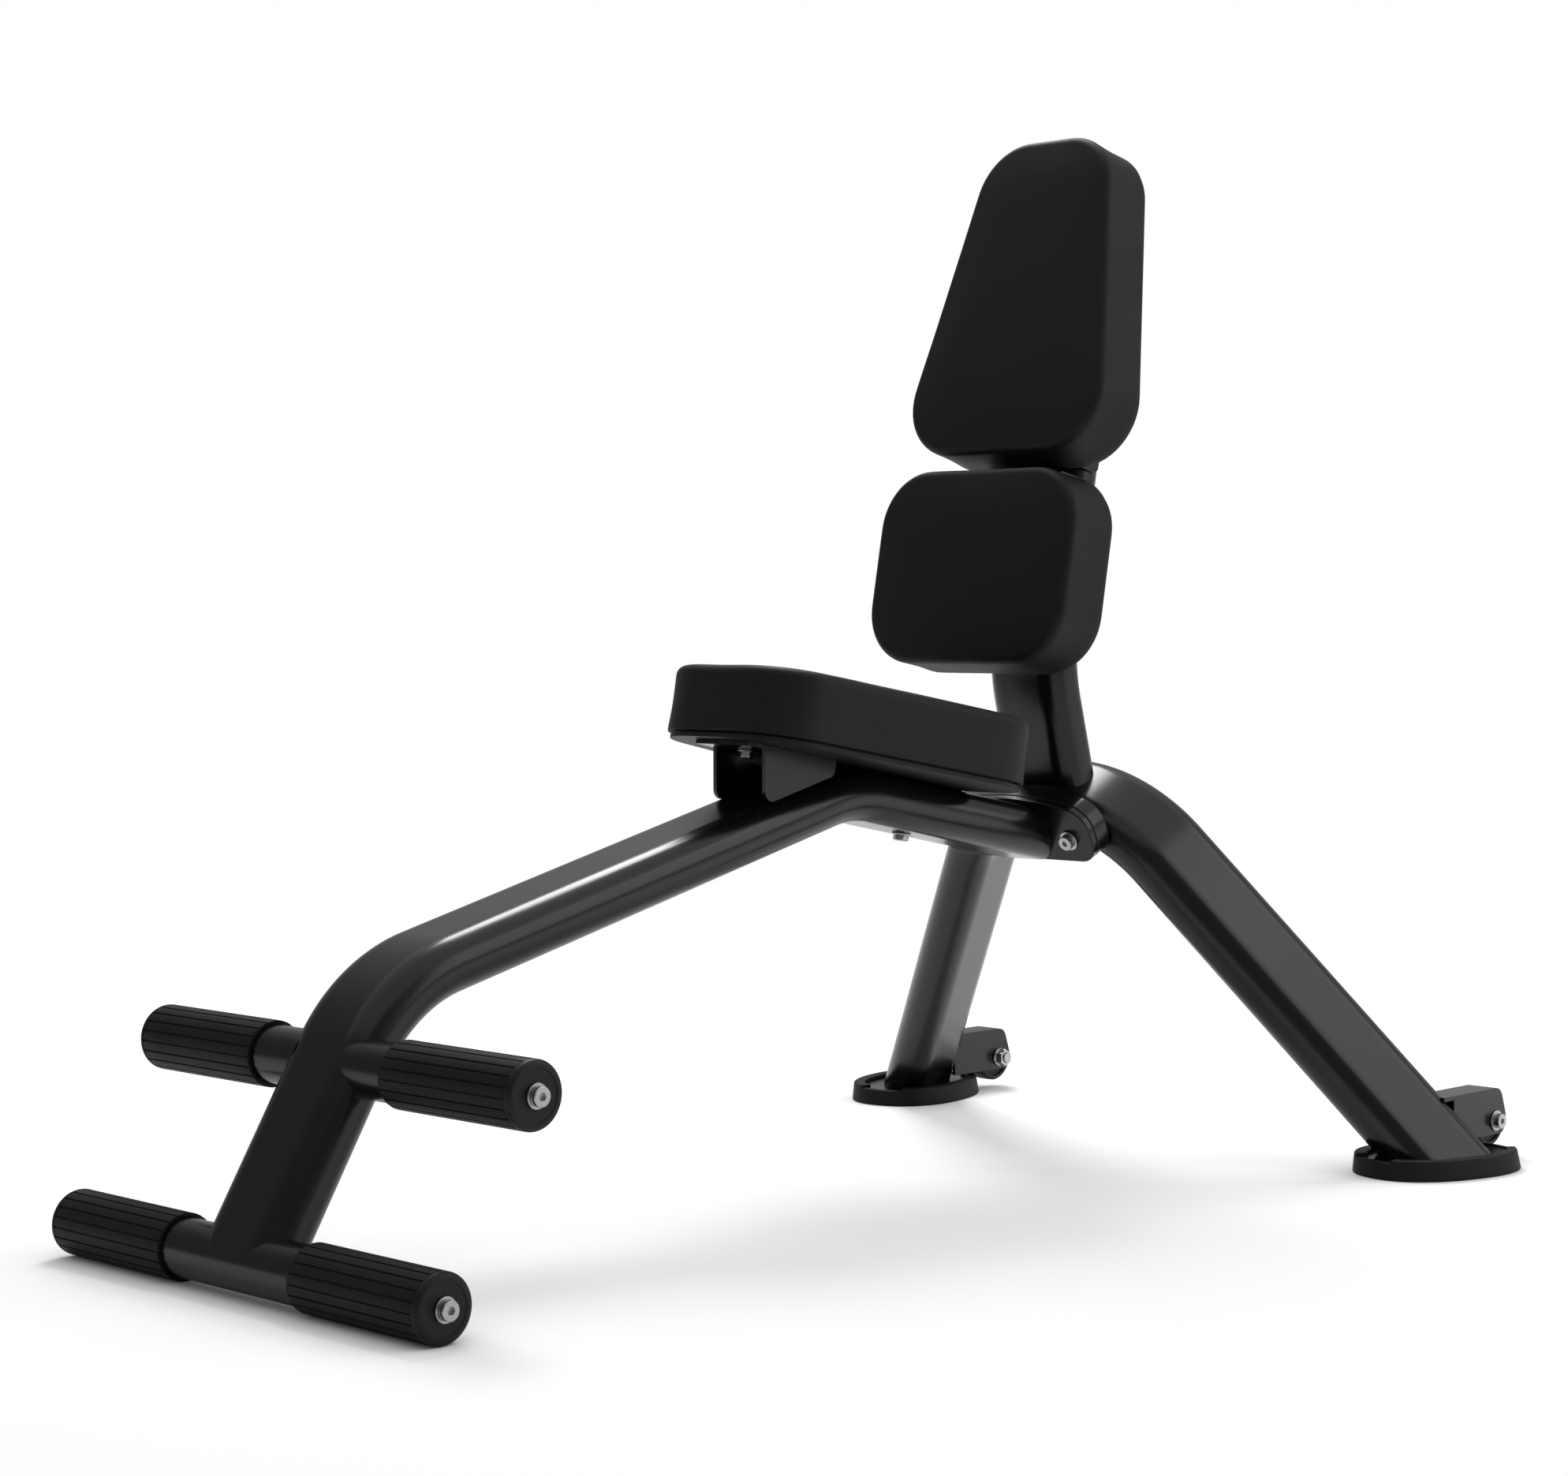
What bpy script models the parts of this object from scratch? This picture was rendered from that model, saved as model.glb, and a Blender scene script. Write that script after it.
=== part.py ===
"""A utility bench: a bent flat-oval frame on two rubber feet and a pair of ribbed floor rollers,
a second pair of rollers for the feet of the user, a tapered seat, a lumbar pad and a back pad,
and two small transport wheels behind the rear feet.

Frame: +Y points to the back of the bench, +X to its right-hand side, +Z up. The origin is on the
floor, half way along the bench and on its plane of symmetry. Metres throughout.
"""
import math

import bmesh
import bpy
from mathutils import Matrix, Vector

# Flat-oval tube of the whole frame
TUBE_WIDTH = 0.095
TUBE_DEPTH = 0.048
TUBE_WALL = 0.003
ROUND_STEPS = 8
BEND_STEPS = 7
CROSS_STEPS = 32
CAP_STEPS = 24
WHEEL_STEPS = 28
BUSH_STEPS = 20
FOLD_STEPS = 4
FLANGE_CORNER_STEPS = 6
PAD_CORNER_STEPS = 7
SMOOTH_UNDER = math.radians(32.0)

# Clearances
SEAT_GAP = 0.0003
BOLT_PLAY = 0.0003
PIN_PLAY = 0.0003
CUT_MARGIN = 0.002

# Hub, where the front tube, the rear arch and the post meet
HUB_HEIGHT = 0.352
ARCH_LEAN = math.radians(25.64)
SADDLE_THICKNESS = 0.0182
SADDLE_TO_POST = 0.0035
SADDLE_NECK_WIDTH = 0.120
SADDLE_NECK_DROP = 0.026
FLANGE_THICKNESS = 0.008
FLANGE_WIDTH = 0.192
FLANGE_BELOW = 0.031
FLANGE_SHOULDER = 0.0215
FLANGE_CROWN = 0.0355
FLANGE_ROUNDNESS = 0.75
FLANGE_BOTTOM_RADIUS = 0.020
FLANGE_TOP_RADIUS = 0.027
HUB_BOLT_SPREAD = 0.137
HUB_BOLT_DROP = 0.0072

# Rear arch and its legs
ARCH_TOP_FLAT = 0.0064
ARCH_BEND_RADIUS = 0.1393
LEG_SPREAD = math.radians(34.58)

# Front tube: rear run down to the hub, long middle run, lower run to the floor rollers
SEAT_REACH = 0.4255
SEAT_BEYOND_BEND = 0.1618
REAR_RUN = SEAT_REACH - SEAT_BEYOND_BEND
REAR_FALL = math.radians(10.8)
MIDDLE_RUN = 0.5415
MIDDLE_RISE = math.radians(14.52)
LOWER_STEEPNESS = math.radians(59.0)
REAR_BEND_RADIUS = 0.1393
FRONT_BEND_RADIUS = 0.1459

# Roller pairs
CROSS_RADIUS = 0.024
CROSS_WALL = 0.003
CROSS_SPACING = 0.1697
GRIP_RADIUS = 0.0274
GRIP_START = 0.084
GRIP_END = 0.2332
GRIP_FLUTES = 20
FLUTE_GROOVE_WIDTH = 0.0014
FLUTE_GROOVE_DEPTH = 0.0011
CAP_LENGTH = 0.0058
CAP_EDGE_RADIUS = 0.0048
CAP_PLUG_LENGTH = 0.018
NUT_PLATE_THICKNESS = 0.008
NUT_PLATE_SETBACK = 0.022

# Post behind the pads
POST_LEAN = math.radians(15.2)
POST_RECLINE = math.radians(10.8)
POST_ROOT = 0.033
POST_LOWER_RUN = 0.1195
POST_UPPER_RUN = 0.2080
POST_BEND_RADIUS = 0.196
POST_CAP_LIP = 0.003
POST_CAP_PLUG = 0.016

# Pads, each measured from its wide edge; the base board shows below the upholstery
BOARD_THICKNESS = 0.012
BOARD_SHOWING = 0.0055
BOARD_INSET = 0.005
PAD_EDGE_RADIUS = 0.0085
PAD_CROWN = 0.0022
PAD_WAIST = 0.0009
PAD_HEM = 0.0016
PAD_EDGE_STEPS = 3
WAIST_SHARE = 0.40
CROWN_SPREAD = 0.62
CROWN_PARTS = (0.4, 1.0)
SEAT_LENGTH = 0.3207
SEAT_WIDE = 0.2756
SEAT_NARROW = 0.1606
SEAT_CORNER_WIDE = 0.0584
SEAT_CORNER_NARROW = 0.0627
SEAT_THICKNESS = 0.0610
LUMBAR_LENGTH = 0.1915
LUMBAR_WIDTH = 0.2470
LUMBAR_CORNER = 0.0565
LUMBAR_THICKNESS = 0.0582
LUMBAR_UP_POST = -0.0259
BACK_LENGTH = 0.3221
BACK_WIDE = 0.2662
BACK_NARROW = 0.1512
BACK_CORNER = 0.0600
BACK_THICKNESS = 0.0590
BACK_UP_POST = 0.1780
BACK_TILT = math.radians(4.3)

# Sheet-steel brackets
SHEET = 0.004
SEAT_BRACKET_WIDTH = 0.066
SEAT_BRACKET_FRONT = 0.0180
SEAT_BRACKET_LENGTH = 0.1140
SEAT_CHEEK_SETBACK = 0.0215
SEAT_CHEEK_SINK = 0.002
SEAT_CHEEK_CORNER = 0.009
POST_SHEET = 0.003
LUMBAR_BRACKET_DEPTH = 0.0205
LUMBAR_BRACKET_LAP = 0.0150
LUMBAR_BRACKET_START = 0.040
LUMBAR_BRACKET_ABOVE = 0.0090
BACK_BRACKET_START = 0.0070
BACK_BRACKET_LENGTH = 0.190
BACK_CHEEK_DEPTH = 0.0360
BACK_CHEEK_TIP = 0.0120
CHEEK_CORNER = 0.006
FOLD_RADIUS = 0.001

# Feet: a rubber cup round a steel plate that closes each leg
FOOT_BEYOND_LEG = 0.0343
FOOT_LENGTH = TUBE_WIDTH / math.cos(ARCH_LEAN) + 2 * FOOT_BEYOND_LEG
FOOT_WIDTH = 0.120
FOOT_SQUARENESS = 2.3
FOOT_HEADING = math.radians(14.5)
FOOT_HEIGHT = 0.0175
FOOT_TAPER = 0.0039
FOOT_WALL = 0.0055
FOOT_BASE = 0.0060
FOOT_LIP = 0.0040
FOOT_EDGE = 0.0015
FOOT_STEPS = 32
LIP_GAP_WIDTH = 0.028
FOOT_PLATE_THICKNESS = 0.0055

# Transport wheels behind the feet
WHEEL_RADIUS = 0.0264
WHEEL_WIDTH = 0.0215
WHEEL_HUB_RADIUS = 0.0095
WHEEL_RIM_WIDTH = 0.0050
WHEEL_RECESS = 0.0030
WHEEL_SHOULDER = 0.0022
AXLE_BEHIND_LEG = 0.0498
AXLE_HEIGHT = 0.0357
WHEEL_INBOARD = 0.0160
WHEEL_BRACKET_INNER = 0.024
WHEEL_BRACKET_TOP = 0.0316
WHEEL_BRACKET_BOTTOM = 0.0135
WHEEL_BRACKET_REAR = 0.0190
WHEEL_BRACKET_HEEL = 0.0151
WHEEL_BRACKET_KNEE = 0.0029
WHEEL_BRACKET_HEEL_RADIUS = 0.010
WHEEL_BRACKET_KNEE_RADIUS = 0.016
WHEEL_BRACKET_TOP_REAR = 0.0090
WHEEL_BRACKET_FRONT = 0.0737
WHEEL_TOP_FRONT = 0.0907
BUSH_WALL = 0.0020

# Fasteners
M8_RADIUS = 0.004
M8_HEX = 0.013
M8_HEAD = 0.0053
M8_WASHER_RADIUS = 0.0092
M8_WASHER_THICKNESS = 0.0018
M10_RADIUS = 0.005
M10_HEX = 0.0165
M10_NUT = 0.0085
CAP_HEAD_RADIUS = 0.0080
CAP_HEAD_HEIGHT = 0.0050
JOINT_HEAD_RADIUS = 0.0073
JOINT_HEAD_HEIGHT = 0.0060
M10_WASHER_RADIUS = 0.0100
M10_WASHER_THICKNESS = 0.0020
HEAD_CROWN_SHARE = 0.88
HEAD_RIM_SHARE = 0.82
SEAT_BOLT_BEFORE_WIDE_EDGE = 0.0545
SEAT_BOLT_BEHIND_FRONT = 0.0517
LUMBAR_BOLTS = {"lower": 0.080, "upper": 0.150}
BACK_BOLTS = {"lower": 0.080, "upper": 0.165}
BOLT_INTO_BOARD = 0.009
ROUND_BOLT_STEPS = 12
HEX_STEPS = 12
ROUND_HEAD_STEPS = 16

X_AXIS = Vector((1.0, 0.0, 0.0))
Y_AXIS = Vector((0.0, 1.0, 0.0))
Z_AXIS = Vector((0.0, 0.0, 1.0))


def clear_scene():
    for item in list(bpy.data.objects):
        bpy.data.objects.remove(item, do_unlink=True)


def material(name, colour, roughness, metallic=0.0):
    finish = bpy.data.materials.new(name)
    finish.use_nodes = True
    shader = finish.node_tree.nodes["Principled BSDF"]
    shader.inputs["Base Color"].default_value = (*colour, 1.0)
    shader.inputs["Roughness"].default_value = roughness
    shader.inputs["Metallic"].default_value = metallic
    return finish


def make_materials():
    return {
        "frame": material("black_powder_coat", (0.018, 0.018, 0.019), 0.38, 0.2),
        "pad": material("black_leather", (0.012, 0.012, 0.012), 0.55),
        "board": material("black_board", (0.020, 0.020, 0.020), 0.60),
        "rubber": material("black_rubber", (0.015, 0.015, 0.015), 0.75),
        "plastic": material("black_plastic", (0.017, 0.017, 0.017), 0.50),
        "steel": material("zinc_steel", (0.62, 0.62, 0.61), 0.32, 1.0),
    }


def new_object(name, mesh_data, finish=None, parent=None, matrix=None):
    """Turn a bmesh into a named, smooth-shaded object under its parent."""
    bmesh.ops.recalc_face_normals(mesh_data, faces=mesh_data.faces)
    mesh = bpy.data.meshes.new(name)
    mesh_data.to_mesh(mesh)
    mesh_data.free()
    item = bpy.data.objects.new(name, mesh)
    bpy.context.scene.collection.objects.link(item)
    if finish:
        mesh.materials.append(finish)
    if parent:
        item.parent = parent
    if matrix:
        item.matrix_local = matrix
    mesh.shade_smooth()
    mesh.set_sharp_from_angle(angle=SMOOTH_UNDER)
    return item


def new_empty(name, location, tilt=0.0, parent=None):
    """A guide whose X axis is the bench's own, turned about it by the tilt."""
    guide = bpy.data.objects.new(name, None)
    guide.location = location
    guide.rotation_euler = (tilt, 0.0, 0.0)
    bpy.context.scene.collection.objects.link(guide)
    if parent:
        guide.parent = parent
    return guide


def cut(target, cutter, operation='DIFFERENCE'):
    step = target.modifiers.new(cutter.name, 'BOOLEAN')
    step.object = cutter
    step.operation = operation
    cutter.hide_render = True
    cutter.display_type = 'WIRE'


def bent_path(corners, radii):
    """Points and directions along a polyline whose inner corners are arcs of the given radii."""
    path = [(corners[0], (corners[1] - corners[0]).normalized())]
    for index, radius in enumerate(radii, start=1):
        before = (corners[index] - corners[index - 1]).normalized()
        after = (corners[index + 1] - corners[index]).normalized()
        turn = before.angle(after)
        start = corners[index] - before * radius * math.tan(turn / 2)
        inward = (after - before * before.dot(after)).normalized()
        centre = start + inward * radius
        for step in range(BEND_STEPS + 1):
            angle = turn * step / BEND_STEPS
            point = centre - inward * radius * math.cos(angle) + before * radius * math.sin(angle)
            path.append((point, before * math.cos(angle) + inward * math.sin(angle)))
    path.append((corners[-1], (corners[-1] - corners[-2]).normalized()))
    return path


def oval_section(width, depth):
    """A flat oval as (across, deep) pairs: two flats joined by half circles."""
    flat = (width - depth) / 2
    points = []
    for side in (1.0, -1.0):
        for step in range(ROUND_STEPS + 1):
            angle = math.pi * (step / ROUND_STEPS - 0.5)
            points.append((side * (flat + depth / 2 * math.cos(angle)), side * depth / 2 * math.sin(angle)))
    return points


def ring_on_path(mesh_data, section, station, across, plane=None):
    """The section's vertices at one station, slid along the path onto an end plane where one is given."""
    point, heading = station
    deep = across.cross(heading)
    ring = []
    for wide, high in section:
        place = point + across * wide + deep * high
        if plane:
            place = place + heading * ((plane[0] - place).dot(plane[1]) / heading.dot(plane[1]))
        ring.append(mesh_data.verts.new(place))
    return ring


def bridge(mesh_data, first, second):
    count = len(first)
    for index in range(count):
        follow = (index + 1) % count
        mesh_data.faces.new((first[index], first[follow], second[follow], second[index]))


def oval_tube(path, across, width=TUBE_WIDTH, depth=TUBE_DEPTH, wall=TUBE_WALL, start=None, end=None):
    """A flat-oval tube along a path; with no wall it is a solid bar of the outer shape."""
    mesh_data = bmesh.new()
    sections = [oval_section(width, depth)]
    if wall:
        sections.append(oval_section(width - 2 * wall, depth - 2 * wall))
    shells = []
    for section in sections:
        rings = []
        for index, station in enumerate(path):
            plane = start if index == 0 else end if index == len(path) - 1 else None
            rings.append(ring_on_path(mesh_data, section, station, across, plane))
        for first, second in zip(rings, rings[1:]):
            bridge(mesh_data, first, second)
        shells.append(rings)
    for tip in (0, -1):
        if wall:
            bridge(mesh_data, shells[0][tip], shells[1][tip])
        else:
            mesh_data.faces.new(shells[0][tip])
    return mesh_data


def turned(profile, steps, closed=False):
    """A body of revolution about X from (along, radius) pairs; a closed profile makes a ring."""
    mesh_data = bmesh.new()
    rings = []
    for along, radius in profile:
        if radius == 0.0:
            rings.append([mesh_data.verts.new((along, 0.0, 0.0))])
            continue
        ring = []
        for step in range(steps):
            angle = 2 * math.pi * step / steps
            ring.append(mesh_data.verts.new((along, radius * math.cos(angle), radius * math.sin(angle))))
        rings.append(ring)
    pairs = list(zip(rings, rings[1:]))
    if closed:
        pairs.append((rings[-1], rings[0]))
    for first, second in pairs:
        if len(first) == 1 or len(second) == 1:
            tip, ring = (first[0], second) if len(first) == 1 else (second[0], first)
            for index in range(steps):
                mesh_data.faces.new((tip, ring[index], ring[(index + 1) % steps]))
        else:
            bridge(mesh_data, first, second)
    return mesh_data


def rounded_outline(corners, radii, steps=8):
    """A closed outline of (x, y) points with each corner replaced by an arc."""
    outline = []
    count = len(corners)
    for index, radius in enumerate(radii):
        corner = Vector(corners[index])
        before = (corner - Vector(corners[index - 1])).normalized()
        after = (Vector(corners[(index + 1) % count]) - corner).normalized()
        turn = before.angle(after)
        start = corner - before * radius * math.tan(turn / 2)
        inward = (after - before * before.dot(after)).normalized()
        for step in range(steps + 1):
            angle = turn * step / steps
            arc = inward * radius * (1 - math.cos(angle)) + before * radius * math.sin(angle)
            outline.append(tuple(start + arc))
    return outline


def prism(outline, low, high):
    """A plate or block: an outline in XY between two heights."""
    mesh_data = bmesh.new()
    rings = [[mesh_data.verts.new((x, y, level)) for x, y in outline] for level in (low, high)]
    bridge(mesh_data, rings[0], rings[1])
    mesh_data.faces.new(rings[0])
    mesh_data.faces.new(rings[1])
    return mesh_data


def stack(layers):
    """A closed body through layers of equal point count, with flat first and last faces."""
    mesh_data = bmesh.new()
    rings = [[mesh_data.verts.new(point) for point in layer] for layer in layers]
    for first, second in zip(rings, rings[1:]):
        bridge(mesh_data, first, second)
    mesh_data.faces.new(rings[0])
    mesh_data.faces.new(rings[-1])
    return mesh_data


def box(low, high):
    outline = [(low[0], low[1]), (high[0], low[1]), (high[0], high[1]), (low[0], high[1])]
    return prism(outline, low[2], high[2])


def along(matrix, direction):
    """Turn the X axis of turned bodies to a direction of the given frame."""
    return matrix @ direction.to_track_quat('X', 'Z').to_matrix().to_4x4()


def circle(radius, steps):
    turns = [2 * math.pi * step / steps for step in range(steps)]
    return [(radius * math.cos(turn), radius * math.sin(turn)) for turn in turns]


def hexagon(across_flats, steps):
    """A hexagon with extra points on its sides, so that it can be joined to a circle."""
    points = []
    for step in range(steps):
        turn = 2 * math.pi * step / steps
        reach = across_flats / 2 / math.cos(turn % (math.pi / 3) - math.pi / 6)
        points.append((reach * math.cos(turn), reach * math.sin(turn)))
    return points


def lofted(levels, closed=False):
    """A body along X through outlines of equal point count; a closed one is a ring."""
    mesh_data = bmesh.new()
    rings = [[mesh_data.verts.new((x, y, z)) for y, z in outline] for x, outline in levels]
    for first, second in zip(rings, rings[1:]):
        bridge(mesh_data, first, second)
    if closed:
        bridge(mesh_data, rings[-1], rings[0])
    else:
        mesh_data.faces.new(rings[0])
        mesh_data.faces.new(rings[-1])
    return mesh_data


def hex_bolt(length):
    """A hexagon bolt with a captive washer along X: it seats at 0 and its shank runs to the length."""
    head = hexagon(M8_HEX, HEX_STEPS)
    rim = circle(M8_WASHER_RADIUS, HEX_STEPS)
    shank = circle(M8_RADIUS, HEX_STEPS)
    under = -M8_WASHER_THICKNESS
    levels = [(under - M8_HEAD, head), (under, head), (under, rim), (0.0, rim), (0.0, shank)]
    return lofted(levels + [(length, shank)])


def hex_nut():
    """A hexagon nut with a captive washer, seated at 0 and standing along X."""
    side = hexagon(M10_HEX, HEX_STEPS)
    rim = circle(M10_WASHER_RADIUS, HEX_STEPS)
    bore = circle(M10_RADIUS + BOLT_PLAY, HEX_STEPS)
    over = M10_WASHER_THICKNESS
    top = over + M10_NUT
    levels = [(0.0, rim), (over, rim), (over, side), (top, side), (top, bore), (0.0, bore)]
    return lofted(levels, closed=True)


def cap_head_bolt(head_radius, head_height, shank_radius, length, rim_radius=0.0, rim_thickness=0.0):
    """A low cap-head bolt along X, with a captive washer where a rim is given; it seats at 0."""
    under = -rim_thickness
    profile = [
        (under - head_height, 0.0),
        (under - head_height, head_radius * HEAD_CROWN_SHARE),
        (under - head_height * HEAD_RIM_SHARE, head_radius),
        (under, head_radius),
    ]
    if rim_radius:
        profile += [(under, rim_radius), (0.0, rim_radius)]
    profile += [(0.0, shank_radius), (length, shank_radius), (length, 0.0)]
    return turned(profile, ROUND_HEAD_STEPS)


def joint_bolt(length):
    """The M10 bolt with its washer that is used at the hub and for the wheel axles."""
    return cap_head_bolt(
        JOINT_HEAD_RADIUS, JOINT_HEAD_HEIGHT, M10_RADIUS, length, M10_WASHER_RADIUS, M10_WASHER_THICKNESS)


def washer(outer, inner, thickness):
    profile = [(0.0, inner), (0.0, outer), (thickness, outer), (thickness, inner)]
    return turned(profile, ROUND_HEAD_STEPS, closed=True)


def rod(radius, low, high, steps):
    return turned([(low, 0.0), (low, radius), (high, radius), (high, 0.0)], steps)


def sideways(mesh_data):
    """Lay a prism across the bench: its XY outline into YZ and its heights along X."""
    mesh_data.transform(Matrix(((0, 0, 1, 0), (1, 0, 0, 0), (0, 1, 0, 0), (0, 0, 0, 1))))
    return mesh_data


def facing(side):
    return Matrix.Rotation(0.0 if side > 0 else math.pi, 4, 'Z')


def drill(targets, guide, place, direction, length, name, radius=M8_RADIUS):
    """Bolt holes through every target, from just behind the place to the bolt's length."""
    bore = rod(radius + BOLT_PLAY, -CUT_MARGIN, length + BOLT_PLAY, ROUND_BOLT_STEPS)
    cutter = new_object(name, bore, parent=guide, matrix=along(place, direction))
    for target in targets:
        cut(target, cutter)


class Layout:
    """Every place on the bench, worked out from the driving sizes."""

    def __init__(self):
        self.arch_up = Vector((0.0, -math.sin(ARCH_LEAN), math.cos(ARCH_LEAN)))
        self.arch_normal = Vector((0.0, math.cos(ARCH_LEAN), math.sin(ARCH_LEAN)))
        self.hub = Vector((0.0, 0.0, HUB_HEIGHT))
        self.place()
        rear = self.axle(1.0).y + WHEEL_RADIUS
        front = self.lower_axis.y - GRIP_RADIUS
        self.hub.y = -(rear + front) / 2
        self.place()

    def place(self):
        self.saddle_front = TUBE_WIDTH / 2 + SADDLE_THICKNESS
        self.flange_front = self.saddle_front + SEAT_GAP + FLANGE_THICKNESS
        self.tube_drop = FLANGE_BELOW - TUBE_DEPTH / 2 / math.cos(ARCH_LEAN + REAR_FALL)
        self.rear_heading = Vector((0.0, -math.cos(REAR_FALL), math.sin(REAR_FALL)))
        self.middle_heading = Vector((0.0, -math.cos(MIDDLE_RISE), -math.sin(MIDDLE_RISE)))
        self.lower_heading = Vector((0.0, -math.cos(LOWER_STEEPNESS), -math.sin(LOWER_STEEPNESS)))
        face = self.hub - self.arch_normal * (self.flange_front + SEAT_GAP)
        self.tube_end_plane = (face, self.arch_normal)
        self.tube_end = face - self.arch_up * self.tube_drop
        self.rear_corner = self.tube_end + self.rear_heading * REAR_RUN
        self.front_corner = self.rear_corner + self.middle_heading * MIDDLE_RUN
        fall = (self.front_corner.z - GRIP_RADIUS) / math.sin(LOWER_STEEPNESS)
        self.lower_axis = self.front_corner + self.lower_heading * fall
        self.upper_axis = self.lower_axis - self.lower_heading * CROSS_SPACING
        self.plate_top = FOOT_BASE + SEAT_GAP + FOOT_PLATE_THICKNESS
        self.post_lower = Vector((0.0, -math.sin(POST_LEAN), math.cos(POST_LEAN)))
        self.post_upper = Vector((0.0, math.sin(POST_RECLINE), math.cos(POST_RECLINE)))

    def leg_heading(self, side):
        sideways = X_AXIS * side * math.sin(LEG_SPREAD)
        return sideways - self.arch_up * math.cos(LEG_SPREAD)

    def arch_corner(self, side):
        turn = math.pi / 2 - LEG_SPREAD
        reach = ARCH_TOP_FLAT / 2 + ARCH_BEND_RADIUS * math.tan(turn / 2)
        return self.hub + X_AXIS * side * reach

    def leg_point(self, side, height):
        corner = self.arch_corner(side)
        heading = self.leg_heading(side)
        return corner + heading * ((height - corner.z) / heading.z)

    def foot(self, side):
        point = self.leg_point(side, self.plate_top)
        return Vector((point.x, point.y, 0.0))

    def axle(self, side):
        foot = self.foot(side)
        leg_half = TUBE_WIDTH / 2 / math.cos(ARCH_LEAN)
        return Vector((foot.x - side * WHEEL_INBOARD, foot.y + leg_half + AXLE_BEHIND_LEG, AXLE_HEIGHT))

    def front_path(self, extra=0.0):
        start = self.tube_end - self.rear_heading * extra
        finish = self.lower_axis + self.lower_heading * extra
        corners = [start, self.rear_corner, self.front_corner, finish]
        return bent_path(corners, [REAR_BEND_RADIUS, FRONT_BEND_RADIUS])

    def arch_path(self, extra=0.0):
        feet = {}
        for side in (-1.0, 1.0):
            feet[side] = self.leg_point(side, self.plate_top + SEAT_GAP) + self.leg_heading(side) * extra
        corners = [feet[-1.0], self.arch_corner(-1.0), self.arch_corner(1.0), feet[1.0]]
        return bent_path(corners, [ARCH_BEND_RADIUS, ARCH_BEND_RADIUS])

    def post_corner(self):
        root = self.hub + self.arch_up * TUBE_DEPTH / 2
        return root + self.post_lower * POST_LOWER_RUN

    def post_path(self, extra=0.0):
        corner = self.post_corner()
        start = corner - self.post_lower * (POST_LOWER_RUN + POST_ROOT)
        top = corner + self.post_upper * (POST_UPPER_RUN + extra)
        return bent_path([start, corner, top], [POST_BEND_RADIUS])


def frame_guides(layout):
    """Empties that carry the groups: their Y axis points back and their Z axis up."""
    guides = {"bench": new_empty("bench", (0.0, 0.0, 0.0))}
    guides["hub"] = new_empty("hub", layout.hub, ARCH_LEAN, guides["bench"])
    guides["seat"] = new_empty("seat_line", layout.tube_end, -REAR_FALL, guides["bench"])
    guides["post"] = new_empty("post_line", layout.post_corner(), -POST_RECLINE, guides["bench"])
    return guides


def inflated(path, across):
    """The solid shape that a flat-oval tube takes up, with the clearance round it."""
    return oval_tube(path, across, TUBE_WIDTH + 2 * SEAT_GAP, TUBE_DEPTH + 2 * SEAT_GAP, None)


def make_front_tube(layout, guides, finishes):
    """The long bent tube: cut to the hub flange behind and coped over the lower roller tube."""
    mesh_data = oval_tube(layout.front_path(), X_AXIS, start=layout.tube_end_plane)
    tube = new_object("front_tube", mesh_data, finishes["frame"], guides["bench"])
    saddle = rod(CROSS_RADIUS + SEAT_GAP, -TUBE_WIDTH, TUBE_WIDTH, CROSS_STEPS)
    place = Matrix.Translation(layout.lower_axis)
    cut(tube, new_object("cut_lower_cross", saddle, parent=guides["bench"], matrix=place))
    return tube


def cross_tube(name, low, high, axis, guides, finishes):
    inner = CROSS_RADIUS - CROSS_WALL
    profile = [(low, inner), (low, CROSS_RADIUS), (high, CROSS_RADIUS), (high, inner)]
    bar = turned(profile, CROSS_STEPS, closed=True)
    return new_object(name, bar, finishes["frame"], guides["bench"], Matrix.Translation(axis))


def make_cross_tubes(layout, guides, finishes):
    """The floor roller tube in one piece, and a stub for the upper rollers on each side of the bend."""
    cross_tube("lower_cross_tube", -GRIP_END, GRIP_END, layout.lower_axis, guides, finishes)
    solid = inflated(layout.front_path(TUBE_DEPTH), X_AXIS)
    shape = new_object("cut_front_tube", solid, parent=guides["bench"])
    flat = (TUBE_WIDTH - TUBE_DEPTH) / 2
    for hand, low, high in (("left", -GRIP_END, -flat), ("right", flat, GRIP_END)):
        cut(cross_tube("upper_cross_tube_" + hand, low, high, layout.upper_axis, guides, finishes), shape)
    return shape


def fluted_ring():
    """The sleeve's outer outline: lands parted by narrow square grooves."""
    pitch = 2 * math.pi / GRIP_FLUTES
    half = FLUTE_GROOVE_WIDTH / 2 / GRIP_RADIUS
    floor = GRIP_RADIUS - FLUTE_GROOVE_DEPTH
    outline = []
    for flute in range(GRIP_FLUTES):
        middle = pitch * flute + pitch / 2
        steps = ((-half, GRIP_RADIUS), (-half, floor), (half, floor), (half, GRIP_RADIUS))
        for turn, radius in steps:
            outline.append((radius * math.cos(middle + turn), radius * math.sin(middle + turn)))
    return outline


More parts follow.
